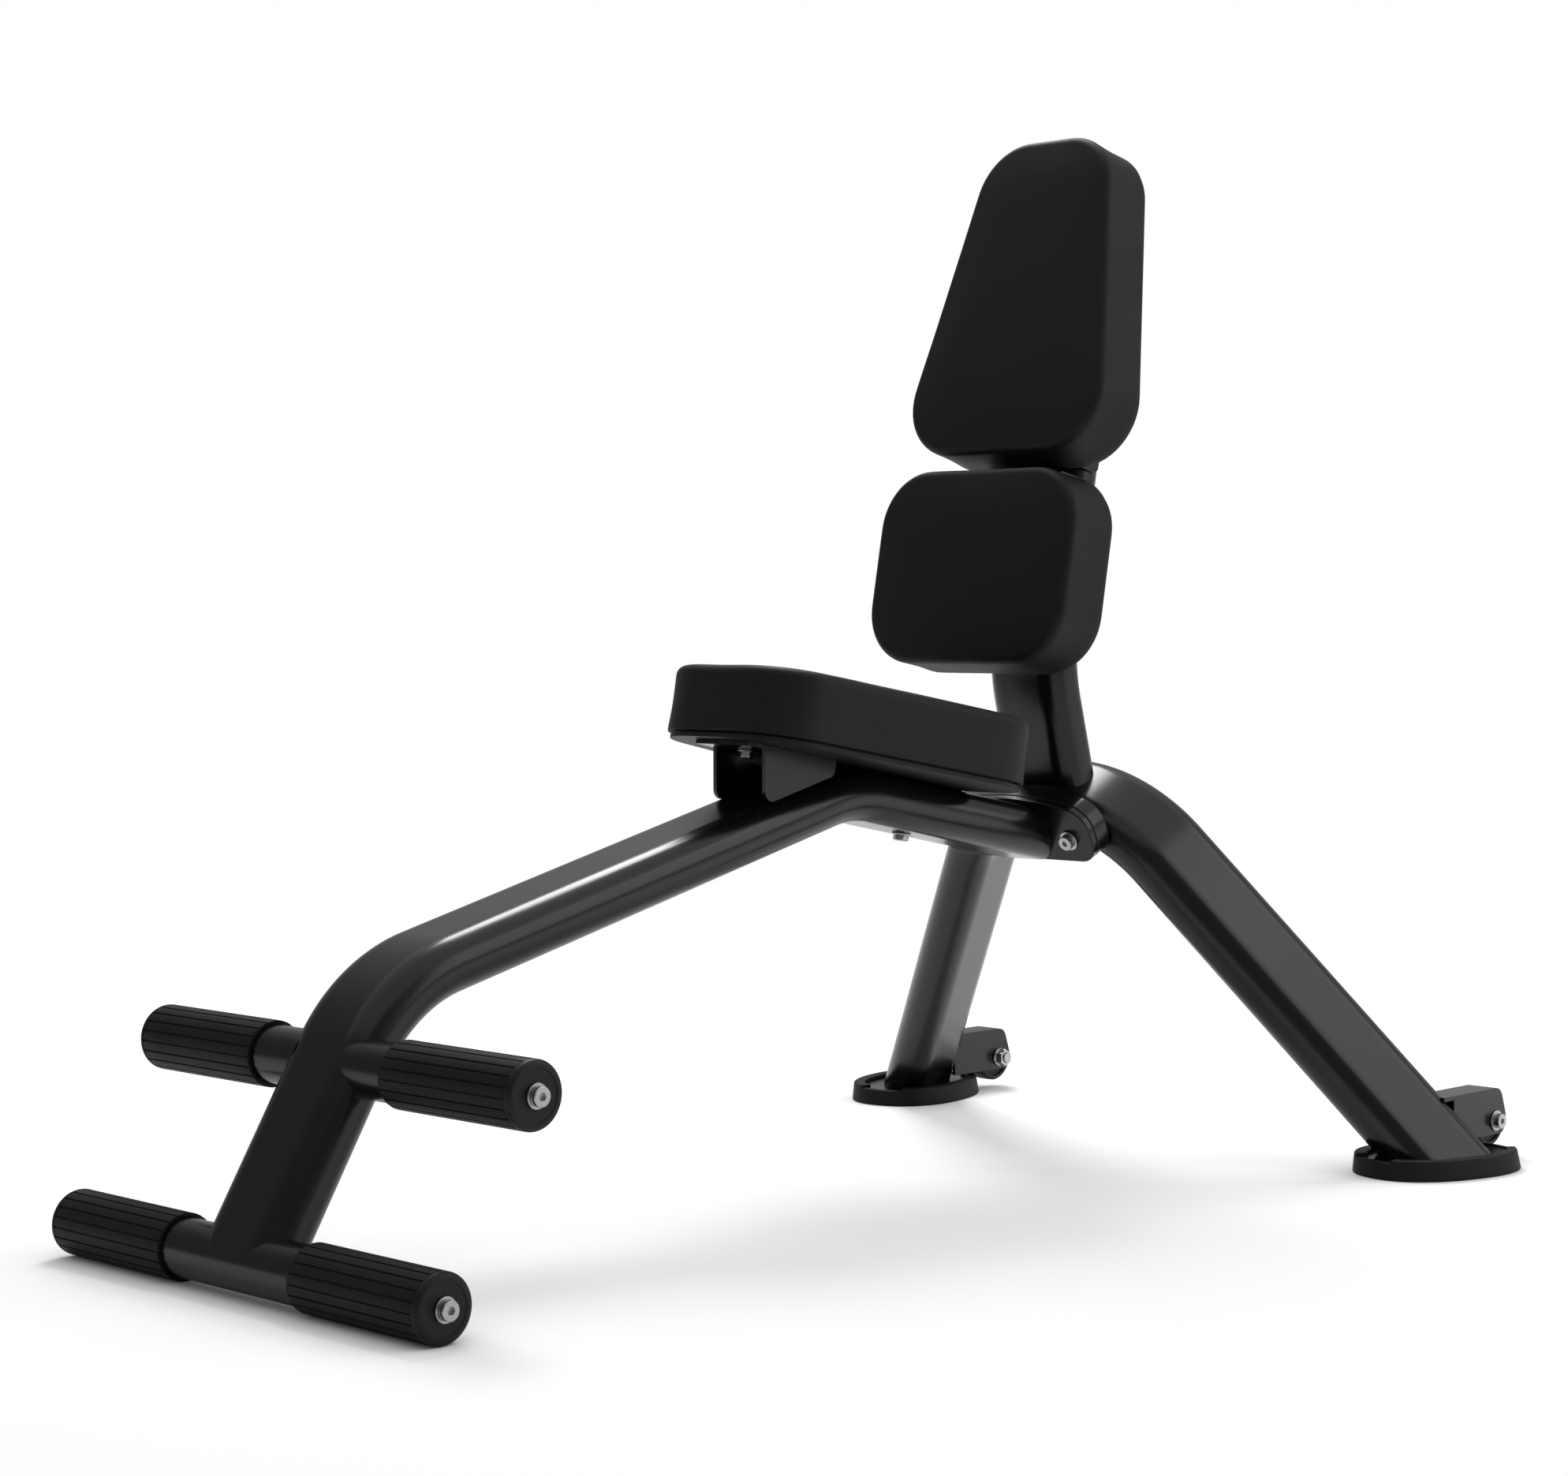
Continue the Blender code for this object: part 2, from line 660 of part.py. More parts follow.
def make_grips(layout, guides, finishes):
    """A fluted rubber sleeve on each end of both roller tubes, closed by a plugged cap."""
    sizes = (CROSS_RADIUS + SEAT_GAP, GRIP_START - CUT_MARGIN, GRIP_END + CUT_MARGIN)
    for level, axis in (("lower", layout.lower_axis), ("upper", layout.upper_axis)):
        for hand, side in (("left", -1.0), ("right", 1.0)):
            place = Matrix.Translation(axis) @ facing(side)
            bar = lofted([(GRIP_START, fluted_ring()), (GRIP_END, fluted_ring())])
            end = f"{level}_{hand}"
            sleeve = new_object("grip_sleeve_" + end, bar, finishes["rubber"], guides["bench"], place)
            hole = rod(*sizes, CROSS_STEPS)
            cut(sleeve, new_object("cut_bore_" + end, hole, parent=guides["bench"], matrix=place))
            make_end_cap("end_cap_" + end, place, guides, finishes)
            make_grip_fasteners(end, place, guides, finishes)


def make_end_cap(name, place, guides, finishes):
    """A rounded disc on a plug that fits into the end of the cross tube, bored for its bolt."""
    start = GRIP_END + SEAT_GAP
    face = start + CAP_LENGTH
    plug = CROSS_RADIUS - CROSS_WALL - SEAT_GAP
    hole = M10_RADIUS + BOLT_PLAY
    plug_end = start - CAP_PLUG_LENGTH
    profile = [(plug_end, hole), (plug_end, plug), (start, plug), (start, GRIP_RADIUS)]
    for step in range(3):
        turn = math.pi / 4 * step
        radius = GRIP_RADIUS - CAP_EDGE_RADIUS * (1 - math.cos(turn))
        profile.append((face - CAP_EDGE_RADIUS * (1 - math.sin(turn)), radius))
    profile.append((face, hole))
    new_object(name, turned(profile, CAP_STEPS, closed=True), finishes["plastic"], guides["bench"], place)


def make_grip_fasteners(suffix, place, guides, finishes):
    """The bolt, washer and threaded plate that clamp one end cap."""
    face = GRIP_END + 2 * SEAT_GAP + CAP_LENGTH
    seat = face + M10_WASHER_THICKNESS + SEAT_GAP
    plate_end = GRIP_END - NUT_PLATE_SETBACK
    length = seat - plate_end + NUT_PLATE_THICKNESS
    bolt = cap_head_bolt(CAP_HEAD_RADIUS, CAP_HEAD_HEIGHT, M10_RADIUS, length)
    inward = along(place @ Matrix.Translation((seat, 0.0, 0.0)), -X_AXIS)
    new_object("grip_bolt_" + suffix, bolt, finishes["steel"], guides["bench"], inward)
    ring = washer(M10_WASHER_RADIUS, M10_RADIUS + BOLT_PLAY, M10_WASHER_THICKNESS)
    outside = place @ Matrix.Translation((face, 0.0, 0.0))
    new_object("grip_washer_" + suffix, ring, finishes["steel"], guides["bench"], outside)
    plate = washer(CROSS_RADIUS - CROSS_WALL - SEAT_GAP, M10_RADIUS + BOLT_PLAY, NUT_PLATE_THICKNESS)
    inside = place @ Matrix.Translation((plate_end - NUT_PLATE_THICKNESS, 0.0, 0.0))
    new_object("grip_nut_plate_" + suffix, plate, finishes["steel"], guides["bench"], inside)


def flange_outline():
    """The hub flange seen from the front: flat foot, round shoulders and a low crown."""
    half = FLANGE_WIDTH / 2
    rise = FLANGE_SHOULDER + (FLANGE_CROWN - FLANGE_SHOULDER) * FLANGE_ROUNDNESS
    corners = [
        (-half, -FLANGE_BELOW), (half, -FLANGE_BELOW), (half, FLANGE_SHOULDER), (half / 2, rise),
        (0.0, FLANGE_CROWN), (-half / 2, rise), (-half, FLANGE_SHOULDER),
    ]
    soft = FLANGE_WIDTH
    radii = [FLANGE_BOTTOM_RADIUS] * 2 + [FLANGE_TOP_RADIUS, soft, soft, soft, FLANGE_TOP_RADIUS]
    return rounded_outline(corners, radii, FLANGE_CORNER_STEPS)


def upright(mesh_data):
    """Stand a prism up: its XY outline into XZ, its heights running towards the front."""
    mesh_data.transform(Matrix.Rotation(math.pi / 2, 4, 'X'))
    return mesh_data


def make_hub(layout, guides, finishes):
    """The front flange and the thick saddle behind it, bolted together by two bolts."""
    front = layout.saddle_front + SEAT_GAP
    plate = upright(prism(flange_outline(), front, layout.flange_front))
    flange = new_object("front_flange", plate, finishes["frame"], guides["hub"])
    block = upright(prism(flange_outline(), TUBE_WIDTH / 2 + SEAT_GAP, layout.saddle_front))
    saddle = new_object("hub_saddle", block, finishes["frame"], guides["hub"])
    half = SADDLE_NECK_WIDTH / 2
    low = (-half, -TUBE_WIDTH / 2 - SEAT_GAP - CUT_MARGIN, -SADDLE_NECK_DROP)
    high = (half, -TUBE_DEPTH / 2 - SADDLE_TO_POST, TUBE_DEPTH / 2 - CUT_MARGIN)
    neck = new_object("cut_neck", box(low, high), parent=guides["hub"])
    cut(saddle, neck, 'UNION')
    shape = inflated(layout.arch_path(TUBE_DEPTH), layout.arch_normal)
    arch_shape = new_object("cut_arch", shape, parent=guides["bench"])
    cut(saddle, arch_shape)
    seat = layout.flange_front + SEAT_GAP
    length = seat - TUBE_WIDTH / 2 - CUT_MARGIN
    for hand, side in (("left", -1.0), ("right", 1.0)):
        place = Matrix.Translation((side * HUB_BOLT_SPREAD / 2, -seat, -HUB_BOLT_DROP))
        deep = length + 2 * CUT_MARGIN
        drill([flange, saddle], guides["hub"], place, Y_AXIS, deep, "cut_hub_bolt_" + hand, M10_RADIUS)
        seated = along(place, Y_AXIS)
        new_object("hub_bolt_" + hand, joint_bolt(length), finishes["steel"], guides["hub"], seated)
    return arch_shape


def make_arch(layout, guides, finishes):
    """The rear arch: one tube bent over the hub, with a leg on each side cut level at its foot."""
    level = (Vector((0.0, 0.0, layout.plate_top + SEAT_GAP)), Z_AXIS)
    mesh_data = oval_tube(layout.arch_path(), layout.arch_normal, start=level, end=level)
    new_object("rear_arch", mesh_data, finishes["frame"], guides["bench"])


def make_post(layout, guides, finishes, arch_shape):
    """The post that carries the two upright pads: coped onto the arch and capped at its top."""
    shell = oval_tube(layout.post_path(), X_AXIS)
    post = new_object("back_post", shell, finishes["frame"], guides["bench"])
    cut(post, arch_shape)
    inset = 2 * TUBE_WALL + 2 * SEAT_GAP
    plug = oval_section(TUBE_WIDTH - inset, TUBE_DEPTH - inset)
    lid = oval_section(TUBE_WIDTH, TUBE_DEPTH)
    seat = POST_UPPER_RUN + SEAT_GAP
    levels = [(seat - POST_CAP_PLUG, plug), (seat, plug), (seat, lid), (seat + POST_CAP_LIP, lid)]
    layers = [[(x, y, height) for x, y in outline] for height, outline in levels]
    new_object("post_cap", stack(layers), finishes["plastic"], guides["post"])
    return post


def pad_corners(length, wide, narrow, inset=0.0):
    return [
        (-wide / 2 + inset, inset), (wide / 2 - inset, inset),
        (narrow / 2 - inset, length - inset), (-narrow / 2 + inset, length - inset),
    ]


def pad_outline(shape, inset=0.0):
    length, wide, narrow, wide_radius, narrow_radius, _ = shape
    radii = [wide_radius - inset] * 2 + [narrow_radius - inset] * 2
    return rounded_outline(pad_corners(length, wide, narrow, inset), radii, PAD_CORNER_STEPS)


def cushion_layers(shape):
    """Outlines up the cushion: hem, slightly drawn-in waist, rounded shoulder and low crown."""
    base = BOARD_SHOWING
    face = base + shape[5]
    shoulder = face - PAD_EDGE_RADIUS
    waist = base + shape[5] * WAIST_SHARE
    levels = [(base, PAD_HEM), (base + PAD_HEM, 0.0), (waist, PAD_WAIST), (shoulder, 0.0)]
    for step in range(1, PAD_EDGE_STEPS + 1):
        angle = math.pi / 2 * step / PAD_EDGE_STEPS
        drawn_in = PAD_EDGE_RADIUS * (1 - math.cos(angle))
        levels.append((shoulder + PAD_EDGE_RADIUS * math.sin(angle), drawn_in))
    spread = shape[3] * CROWN_SPREAD
    for part in CROWN_PARTS:
        rise = PAD_CROWN * (1 - (1 - part) ** 2)
        levels.append((face + rise, PAD_EDGE_RADIUS + spread * part))
    return [[(x, y, height) for x, y in pad_outline(shape, inset)] for height, inset in levels]


def make_pad(name, shape, place, guides, finishes, parent):
    """One upholstered cushion over its base board; local Z is the way the pad faces."""
    foam = stack(cushion_layers(shape))
    cushion = new_object(name + "_cushion", foam, finishes["pad"], guides[parent], place)
    pocket = prism(pad_outline(shape, BOARD_INSET - SEAT_GAP), -CUT_MARGIN, BOARD_THICKNESS + SEAT_GAP)
    cut(cushion, new_object(f"cut_{name}_pocket", pocket, parent=guides[parent], matrix=place))
    sheet = prism(pad_outline(shape, BOARD_INSET), 0.0, BOARD_THICKNESS)
    return new_object(name + "_board", sheet, finishes["board"], guides[parent], place)


def seat_place():
    """The seat faces up; its wide edge is at the back and it lies on the tube's rear run."""
    height = TUBE_DEPTH / 2 + SEAT_GAP
    return Matrix.Translation((0.0, -SEAT_REACH + SEAT_LENGTH, height)) @ Matrix.Rotation(math.pi, 4, 'Z')


def post_pad_place(up, offset, tilt=0.0):
    """A pad on the post faces forward; up and offset are measured on the post's upper run."""
    turn = Matrix.Rotation(math.pi / 2 - tilt, 4, 'X')
    return Matrix.Translation((0.0, -TUBE_DEPTH / 2 - offset, up)) @ turn


def make_seat(layout, guides, finishes, front_tube, front_shape):
    """Seat cushion and board, the folded bracket under its front and the two bolts that hold it."""
    shape = (SEAT_LENGTH, SEAT_WIDE, SEAT_NARROW, SEAT_CORNER_WIDE, SEAT_CORNER_NARROW, SEAT_THICKNESS)
    board = make_pad("seat", shape, seat_place(), guides, finishes, "seat")
    bracket = make_seat_bracket(guides, finishes, front_shape)
    wide_edge = SEAT_LENGTH - SEAT_REACH
    under_sheet = TUBE_DEPTH / 2 - SHEET
    bolts = (
        ("front", SEAT_BOLT_BEHIND_FRONT - SEAT_REACH, under_sheet, [bracket, board]),
        ("rear", wide_edge - SEAT_BOLT_BEFORE_WIDE_EDGE, -TUBE_DEPTH / 2, [front_tube, board]),
    )
    for end, reach, level, held in bolts:
        place = Matrix.Translation((0.0, reach, level - SEAT_GAP))
        length = TUBE_DEPTH / 2 - level + 2 * SEAT_GAP + BOLT_INTO_BOARD
        drill(held, guides["seat"], place, Z_AXIS, length, f"cut_seat_bolt_{end}")
        seated = along(place, Z_AXIS)
        new_object(f"seat_bolt_{end}", hex_bolt(length), finishes["steel"], guides["seat"], seated)


def make_seat_bracket(guides, finishes, front_shape):
    """A folded channel: a tongue under the seat and two cheeks coped onto the tube's middle run."""
    top = TUBE_DEPTH / 2
    half = SEAT_BRACKET_WIDTH / 2
    front = SEAT_BRACKET_FRONT - SEAT_REACH
    cheek = front + SEAT_CHEEK_SETBACK
    rear = front + SEAT_BRACKET_LENGTH
    slope = math.tan(REAR_FALL + MIDDLE_RISE)
    base = REAR_RUN * slope + top / math.cos(REAR_FALL + MIDDLE_RISE) - SEAT_CHEEK_SINK
    plumb = math.tan(REAR_FALL)
    toe = (cheek + (top - base) * plumb) / (1 + slope * plumb)
    profile = [(cheek, top), (toe, base + toe * slope), (rear, base + rear * slope), (rear, top)]
    radii = [FOLD_RADIUS, SEAT_CHEEK_CORNER, FOLD_RADIUS, FOLD_RADIUS]
    folded = sideways(prism(rounded_outline(profile, radii, FOLD_STEPS), -half, half))
    bracket = new_object("seat_bracket", folded, finishes["frame"], guides["seat"])
    tongue = box((-half, front, top - SHEET), (half, cheek + 2 * FOLD_RADIUS, top))
    cut(bracket, new_object("cut_tongue", tongue, parent=guides["seat"]), 'UNION')
    low = (SHEET - half, front - CUT_MARGIN, -TUBE_WIDTH)
    inside = box(low, (half - SHEET, rear + CUT_MARGIN, top - SHEET))
    cut(bracket, new_object("cut_bracket_inside", inside, parent=guides["seat"]))
    cut(bracket, front_shape)
    return bracket


def channel(name, profile, radii, half, place, guides, finishes):
    """A folded channel behind a pad: its side profile, then its inside taken out."""
    folded = sideways(prism(rounded_outline(profile, radii, FOLD_STEPS), -half, half))
    body = new_object(name, folded, finishes["frame"], guides["post"], place)
    low = (POST_SHEET - half, -TUBE_WIDTH, -TUBE_WIDTH)
    high = (half - POST_SHEET, LUMBAR_LENGTH + BACK_LENGTH, -SEAT_GAP - POST_SHEET)
    cut(body, new_object("cut_" + name, box(low, high), parent=guides["post"], matrix=place))
    return body


def make_lumbar(layout, guides, finishes, post):
    """Lumbar pad on a channel welded to the front of the post, bolted through the post."""
    shape = (LUMBAR_LENGTH, LUMBAR_WIDTH, LUMBAR_WIDTH, LUMBAR_CORNER, LUMBAR_CORNER, LUMBAR_THICKNESS)
    place = post_pad_place(LUMBAR_UP_POST, LUMBAR_BRACKET_DEPTH + SEAT_GAP)
    board = make_pad("lumbar", shape, place, guides, finishes, "post")
    start = LUMBAR_BRACKET_START
    end = LUMBAR_LENGTH + LUMBAR_BRACKET_ABOVE
    deep = SEAT_GAP + LUMBAR_BRACKET_DEPTH + LUMBAR_BRACKET_LAP
    profile = [(start, -SEAT_GAP), (start, -deep), (end, -deep), (end, -SEAT_GAP)]
    radii = [FOLD_RADIUS, CHEEK_CORNER, CHEEK_CORNER, FOLD_RADIUS]
    bracket = channel("lumbar_bracket", profile, radii, TUBE_WIDTH / 2, place, guides, finishes)
    post_shape = inflated(layout.post_path(TUBE_DEPTH), X_AXIS)
    cut(bracket, new_object("cut_post", post_shape, parent=guides["bench"]))
    length = TUBE_DEPTH + LUMBAR_BRACKET_DEPTH + 2 * SEAT_GAP + BOLT_INTO_BOARD
    for end, height in LUMBAR_BOLTS.items():
        spot = Matrix.Translation((0.0, TUBE_DEPTH / 2 + SEAT_GAP, LUMBAR_UP_POST + height))
        drill([post, bracket, board], guides["post"], spot, -Y_AXIS, length, f"cut_lumbar_bolt_{end}")
        seated = along(spot, -Y_AXIS)
        new_object(f"lumbar_bolt_{end}", hex_bolt(length), finishes["steel"], guides["post"], seated)


def make_back(guides, finishes):
    """Back pad on a wedge-shaped channel that holds the top of the post between its cheeks."""
    shape = (BACK_LENGTH, BACK_WIDE, BACK_NARROW, BACK_CORNER, BACK_CORNER, BACK_THICKNESS)
    post_top = POST_UPPER_RUN + SEAT_GAP + POST_CAP_LIP - BACK_UP_POST
    clear = (POST_SHEET + 2 * SEAT_GAP + post_top * math.sin(BACK_TILT)) / math.cos(BACK_TILT)
    place = post_pad_place(BACK_UP_POST, clear, BACK_TILT)
    board = make_pad("back", shape, place, guides, finishes, "post")
    start = BACK_BRACKET_START
    end = start + BACK_BRACKET_LENGTH
    profile = [
        (start, -SEAT_GAP), (start, -BACK_CHEEK_DEPTH), (post_top, -BACK_CHEEK_DEPTH),
        (end, -BACK_CHEEK_TIP), (end, -SEAT_GAP),
    ]
    radii = [FOLD_RADIUS, CHEEK_CORNER, BACK_CHEEK_DEPTH, CHEEK_CORNER, FOLD_RADIUS]
    half = TUBE_WIDTH / 2 + SEAT_GAP + POST_SHEET
    bracket = channel("back_bracket", profile, radii, half, place, guides, finishes)
    length = POST_SHEET + 2 * SEAT_GAP + BOLT_INTO_BOARD
    for end, height in BACK_BOLTS.items():
        spot = place @ Matrix.Translation((0.0, height, -POST_SHEET - 2 * SEAT_GAP))
        drill([bracket, board], guides["post"], spot, Z_AXIS, length, f"cut_back_bolt_{end}")
        seated = along(spot, Z_AXIS)
        new_object(f"back_bolt_{end}", hex_bolt(length), finishes["steel"], guides["post"], seated)


def foot_outline(inset):
    """The foot's soft oval seen from above, its long axis along Y."""
    power = 2 / FOOT_SQUARENESS
    outline = []
    for x, y in circle(1.0, FOOT_STEPS):
        wide = math.copysign(abs(x) ** power, x) * (FOOT_WIDTH / 2 - inset)
        outline.append((wide, math.copysign(abs(y) ** power, y) * (FOOT_LENGTH / 2 - inset)))
    return outline


def make_feet(layout, guides, finishes):
    """Each leg stands on a steel plate that is held in a rubber cup under two inward lips."""
    lip_under = layout.plate_top + SEAT_GAP
    inside = FOOT_TAPER + FOOT_WALL
    levels = [
        (0.0, FOOT_EDGE), (FOOT_EDGE, 0.0), (FOOT_HEIGHT - FOOT_EDGE, FOOT_TAPER),
        (FOOT_HEIGHT, FOOT_TAPER + FOOT_EDGE), (FOOT_HEIGHT, inside + FOOT_LIP),
        (lip_under, inside + FOOT_LIP), (lip_under, inside), (FOOT_BASE, inside),
    ]
    for hand, side in (("left", -1.0), ("right", 1.0)):
        place = Matrix.Translation(layout.foot(side)) @ Matrix.Rotation(-side * FOOT_HEADING, 4, 'Z')
        layers = [[(x, y, height) for x, y in foot_outline(inset)] for height, inset in levels]
        cup = new_object("rubber_foot_" + hand, stack(layers), finishes["rubber"], guides["bench"], place)
        gap = box(
            (-LIP_GAP_WIDTH / 2, -FOOT_LENGTH, lip_under - SEAT_GAP),
            (LIP_GAP_WIDTH / 2, FOOT_LENGTH, FOOT_HEIGHT + CUT_MARGIN))
        within = prism(foot_outline(inside), FOOT_BASE, FOOT_HEIGHT + 2 * CUT_MARGIN)
        lip_gap = new_object("cut_lip_gap_" + hand, gap, parent=guides["bench"], matrix=place)
        within_cup = new_object("cut_within_cup_" + hand, within, parent=guides["bench"], matrix=place)
        cut(lip_gap, within_cup, 'INTERSECT')
        cut(cup, lip_gap)
        plate = prism(foot_outline(inside + SEAT_GAP), FOOT_BASE + SEAT_GAP, layout.plate_top)
        new_object("foot_plate_" + hand, plate, finishes["frame"], guides["bench"], place)


def wheel_profile():
    """Half section of the wheel: hub, recessed web and a tread with bevelled shoulders."""
    half = WHEEL_WIDTH / 2
    bore = M10_RADIUS + BOLT_PLAY + BUSH_WALL + PIN_PLAY
    rim = WHEEL_RADIUS - WHEEL_RIM_WIDTH
    web = half - WHEEL_RECESS
    tread = WHEEL_RADIUS - WHEEL_SHOULDER
    flat = half - WHEEL_SHOULDER
    return [
        (-half, bore), (-half, WHEEL_HUB_RADIUS), (-web, WHEEL_HUB_RADIUS), (-web, rim),
        (-half, rim), (-half, tread), (-flat, WHEEL_RADIUS), (flat, WHEEL_RADIUS), (half, tread),
        (half, rim), (web, rim), (web, WHEEL_HUB_RADIUS), (half, WHEEL_HUB_RADIUS), (half, bore),
    ]


def make_wheels(layout, guides, finishes, arch_shape):
    """A wheel on a steel bush in each bracket; the axle bolt's head is on the outside."""
    for hand, side in (("left", -1.0), ("right", 1.0)):
        axle = new_empty("axle_" + hand, layout.axle(side), 0.0, guides["bench"])
        tyre = turned(wheel_profile(), WHEEL_STEPS, closed=True)
        new_object("wheel_" + hand, tyre, finishes["rubber"], axle)
        half = WHEEL_BRACKET_INNER / 2 - SEAT_GAP
        inner = M10_RADIUS + BOLT_PLAY
        ring = [(-half, inner), (-half, inner + BUSH_WALL), (half, inner + BUSH_WALL), (half, inner)]
        new_object("wheel_bush_" + hand, turned(ring, BUSH_STEPS, closed=True), finishes["steel"], axle)
        bracket = make_wheel_bracket(hand, axle, guides, finishes)
        cut(bracket, arch_shape)
        seat = WHEEL_BRACKET_INNER / 2 + SHEET + SEAT_GAP
        length = 2 * seat + M10_WASHER_THICKNESS + M10_NUT + CUT_MARGIN
        inward = along(facing(side) @ Matrix.Translation((seat, 0.0, 0.0)), -X_AXIS)
        drill([bracket], axle, inward, X_AXIS, length, "cut_axle_hole_" + hand, M10_RADIUS)
        new_object("axle_bolt_" + hand, joint_bolt(length), finishes["steel"], axle, inward)
        nut_place = facing(-side) @ Matrix.Translation((seat, 0.0, 0.0))
        new_object("axle_nut_" + hand, hex_nut(), finishes["steel"], axle, nut_place)


def make_wheel_bracket(hand, axle, guides, finishes):
    """A folded channel behind the leg, open below and round about the axle."""
    half = WHEEL_BRACKET_INNER / 2 + SHEET
    low = -WHEEL_BRACKET_BOTTOM
    profile = [
        (-WHEEL_BRACKET_FRONT, low), (WHEEL_BRACKET_HEEL, low),
        (WHEEL_BRACKET_REAR, WHEEL_BRACKET_KNEE), (WHEEL_BRACKET_TOP_REAR, WHEEL_BRACKET_TOP),
        (-WHEEL_BRACKET_FRONT, WHEEL_BRACKET_TOP),
    ]
    knee = WHEEL_BRACKET_KNEE_RADIUS
    radii = [FOLD_RADIUS, WHEEL_BRACKET_HEEL_RADIUS, knee, CHEEK_CORNER / 2, FOLD_RADIUS]
    folded = sideways(prism(rounded_outline(profile, radii, FOLD_STEPS), -half, half))
    bracket = new_object("wheel_bracket_" + hand, folded, finishes["frame"], axle)
    tongue = box(
        (-half, -WHEEL_TOP_FRONT, WHEEL_BRACKET_TOP - SHEET),
        (half, -WHEEL_BRACKET_FRONT + 2 * FOLD_RADIUS, WHEEL_BRACKET_TOP))
    cut(bracket, new_object("cut_wheel_tongue_" + hand, tongue, parent=axle), 'UNION')
    inside = box(
        (SHEET - half, -WHEEL_TOP_FRONT - CUT_MARGIN, low - CUT_MARGIN),
        (half - SHEET, WHEEL_BRACKET_REAR + CUT_MARGIN, WHEEL_BRACKET_TOP - SHEET))
    cut(bracket, new_object("cut_wheel_inside_" + hand, inside, parent=axle))
    return bracket


def build_bench():
    clear_scene()
    layout = Layout()
    finishes = make_materials()
    guides = frame_guides(layout)
    front_tube = make_front_tube(layout, guides, finishes)
    front_shape = make_cross_tubes(layout, guides, finishes)
    make_grips(layout, guides, finishes)
    arch_shape = make_hub(layout, guides, finishes)
    make_arch(layout, guides, finishes)
    post = make_post(layout, guides, finishes, arch_shape)
    make_seat(layout, guides, finishes, front_tube, front_shape)
    make_lumbar(layout, guides, finishes, post)
    make_back(guides, finishes)
    make_feet(layout, guides, finishes)
    make_wheels(layout, guides, finishes, arch_shape)


build_bench()
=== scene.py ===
import math

import bmesh
import bpy
from mathutils import Matrix, Vector
from mathutils.kdtree import KDTree


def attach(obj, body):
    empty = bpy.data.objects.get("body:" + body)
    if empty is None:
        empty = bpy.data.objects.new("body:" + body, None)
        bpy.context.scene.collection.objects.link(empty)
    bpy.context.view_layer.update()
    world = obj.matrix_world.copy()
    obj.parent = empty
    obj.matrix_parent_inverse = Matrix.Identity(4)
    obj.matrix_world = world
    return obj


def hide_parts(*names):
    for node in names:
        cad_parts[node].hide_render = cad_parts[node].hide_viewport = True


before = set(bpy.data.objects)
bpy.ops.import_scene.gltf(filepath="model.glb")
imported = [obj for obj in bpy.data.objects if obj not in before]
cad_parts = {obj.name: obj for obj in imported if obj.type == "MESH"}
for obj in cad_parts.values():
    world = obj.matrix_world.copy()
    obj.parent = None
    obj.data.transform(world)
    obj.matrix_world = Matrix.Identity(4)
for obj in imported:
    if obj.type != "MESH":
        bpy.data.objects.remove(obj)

X_AXIS = Vector((1.0, 0.0, 0.0))
Y_AXIS = Vector((0.0, 1.0, 0.0))
Z_AXIS = Vector((0.0, 0.0, 1.0))
GAP = 0.0003

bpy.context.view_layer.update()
scene = bpy.context.scene
scene.view_settings.view_transform = "Standard"


# The studio: a white paper floor that runs out to a white surround. Matt card, lit from above; it keeps the
# bench's soft shadow, and the glow that whitens it is dimmed close under the bench as a painted contact
# shadow.
# The camera stands in front of the bench's right corner, low and at the seat's height.


def put(name, data):
    """A new object in the scene."""
    made = bpy.data.objects.new(name, data)
    scene.collection.objects.link(made)
    return made


def grey(level):
    return (level, level, level, 1.0)


class Wire:
    """One output in a node tree, so that its maths reads as plain sums."""

    def __init__(self, graph, socket):
        self.graph = graph
        self.socket = socket

    def __add__(self, other):
        return self.graph.maths("ADD", self, other)

    def __radd__(self, other):
        return self.graph.maths("ADD", other, self)

    def __sub__(self, other):
        return self.graph.maths("SUBTRACT", self, other)

    def __rsub__(self, other):
        return self.graph.maths("SUBTRACT", other, self)

    def __mul__(self, other):
        return self.graph.maths("MULTIPLY", self, other)

    def __rmul__(self, other):
        return self.graph.maths("MULTIPLY", other, self)

    def __truediv__(self, other):
        return self.graph.maths("DIVIDE", self, other)

    def __rtruediv__(self, other):
        return self.graph.maths("DIVIDE", other, self)

    def __pow__(self, other):
        return self.graph.maths("POWER", self, other)


class Graph:
    """A node tree being made."""

    def __init__(self, tree):
        self.tree = tree

    def feed(self, value, socket):
        """Links a wire to a socket, or sets a plain value on it."""
        if isinstance(value, Wire):
            self.tree.links.new(value.socket, socket)
        else:
            socket.default_value = value

    def node(self, kind, sockets, output=0, **settings):
        """Adds a node: its settings first, then the values and links of its sockets; returns one output."""
        made = self.tree.nodes.new(kind)
        for setting, value in settings.items():
            setattr(made, setting, value)
        for socket, value in sockets.items():
            self.feed(value, made.inputs[socket])
        return Wire(self, made.outputs[output])

    def maths(self, operation, *values):
        return self.node("ShaderNodeMath", dict(enumerate(values)), operation=operation)

    def spread(self, wire, low, high, least=0.0, most=1.0):
        """Stretches a wire's range low to high onto least to most."""
        sockets = {"Value": wire, "From Min": low, "From Max": high, "To Min": least, "To Max": most}
        return self.node("ShaderNodeMapRange", sockets)


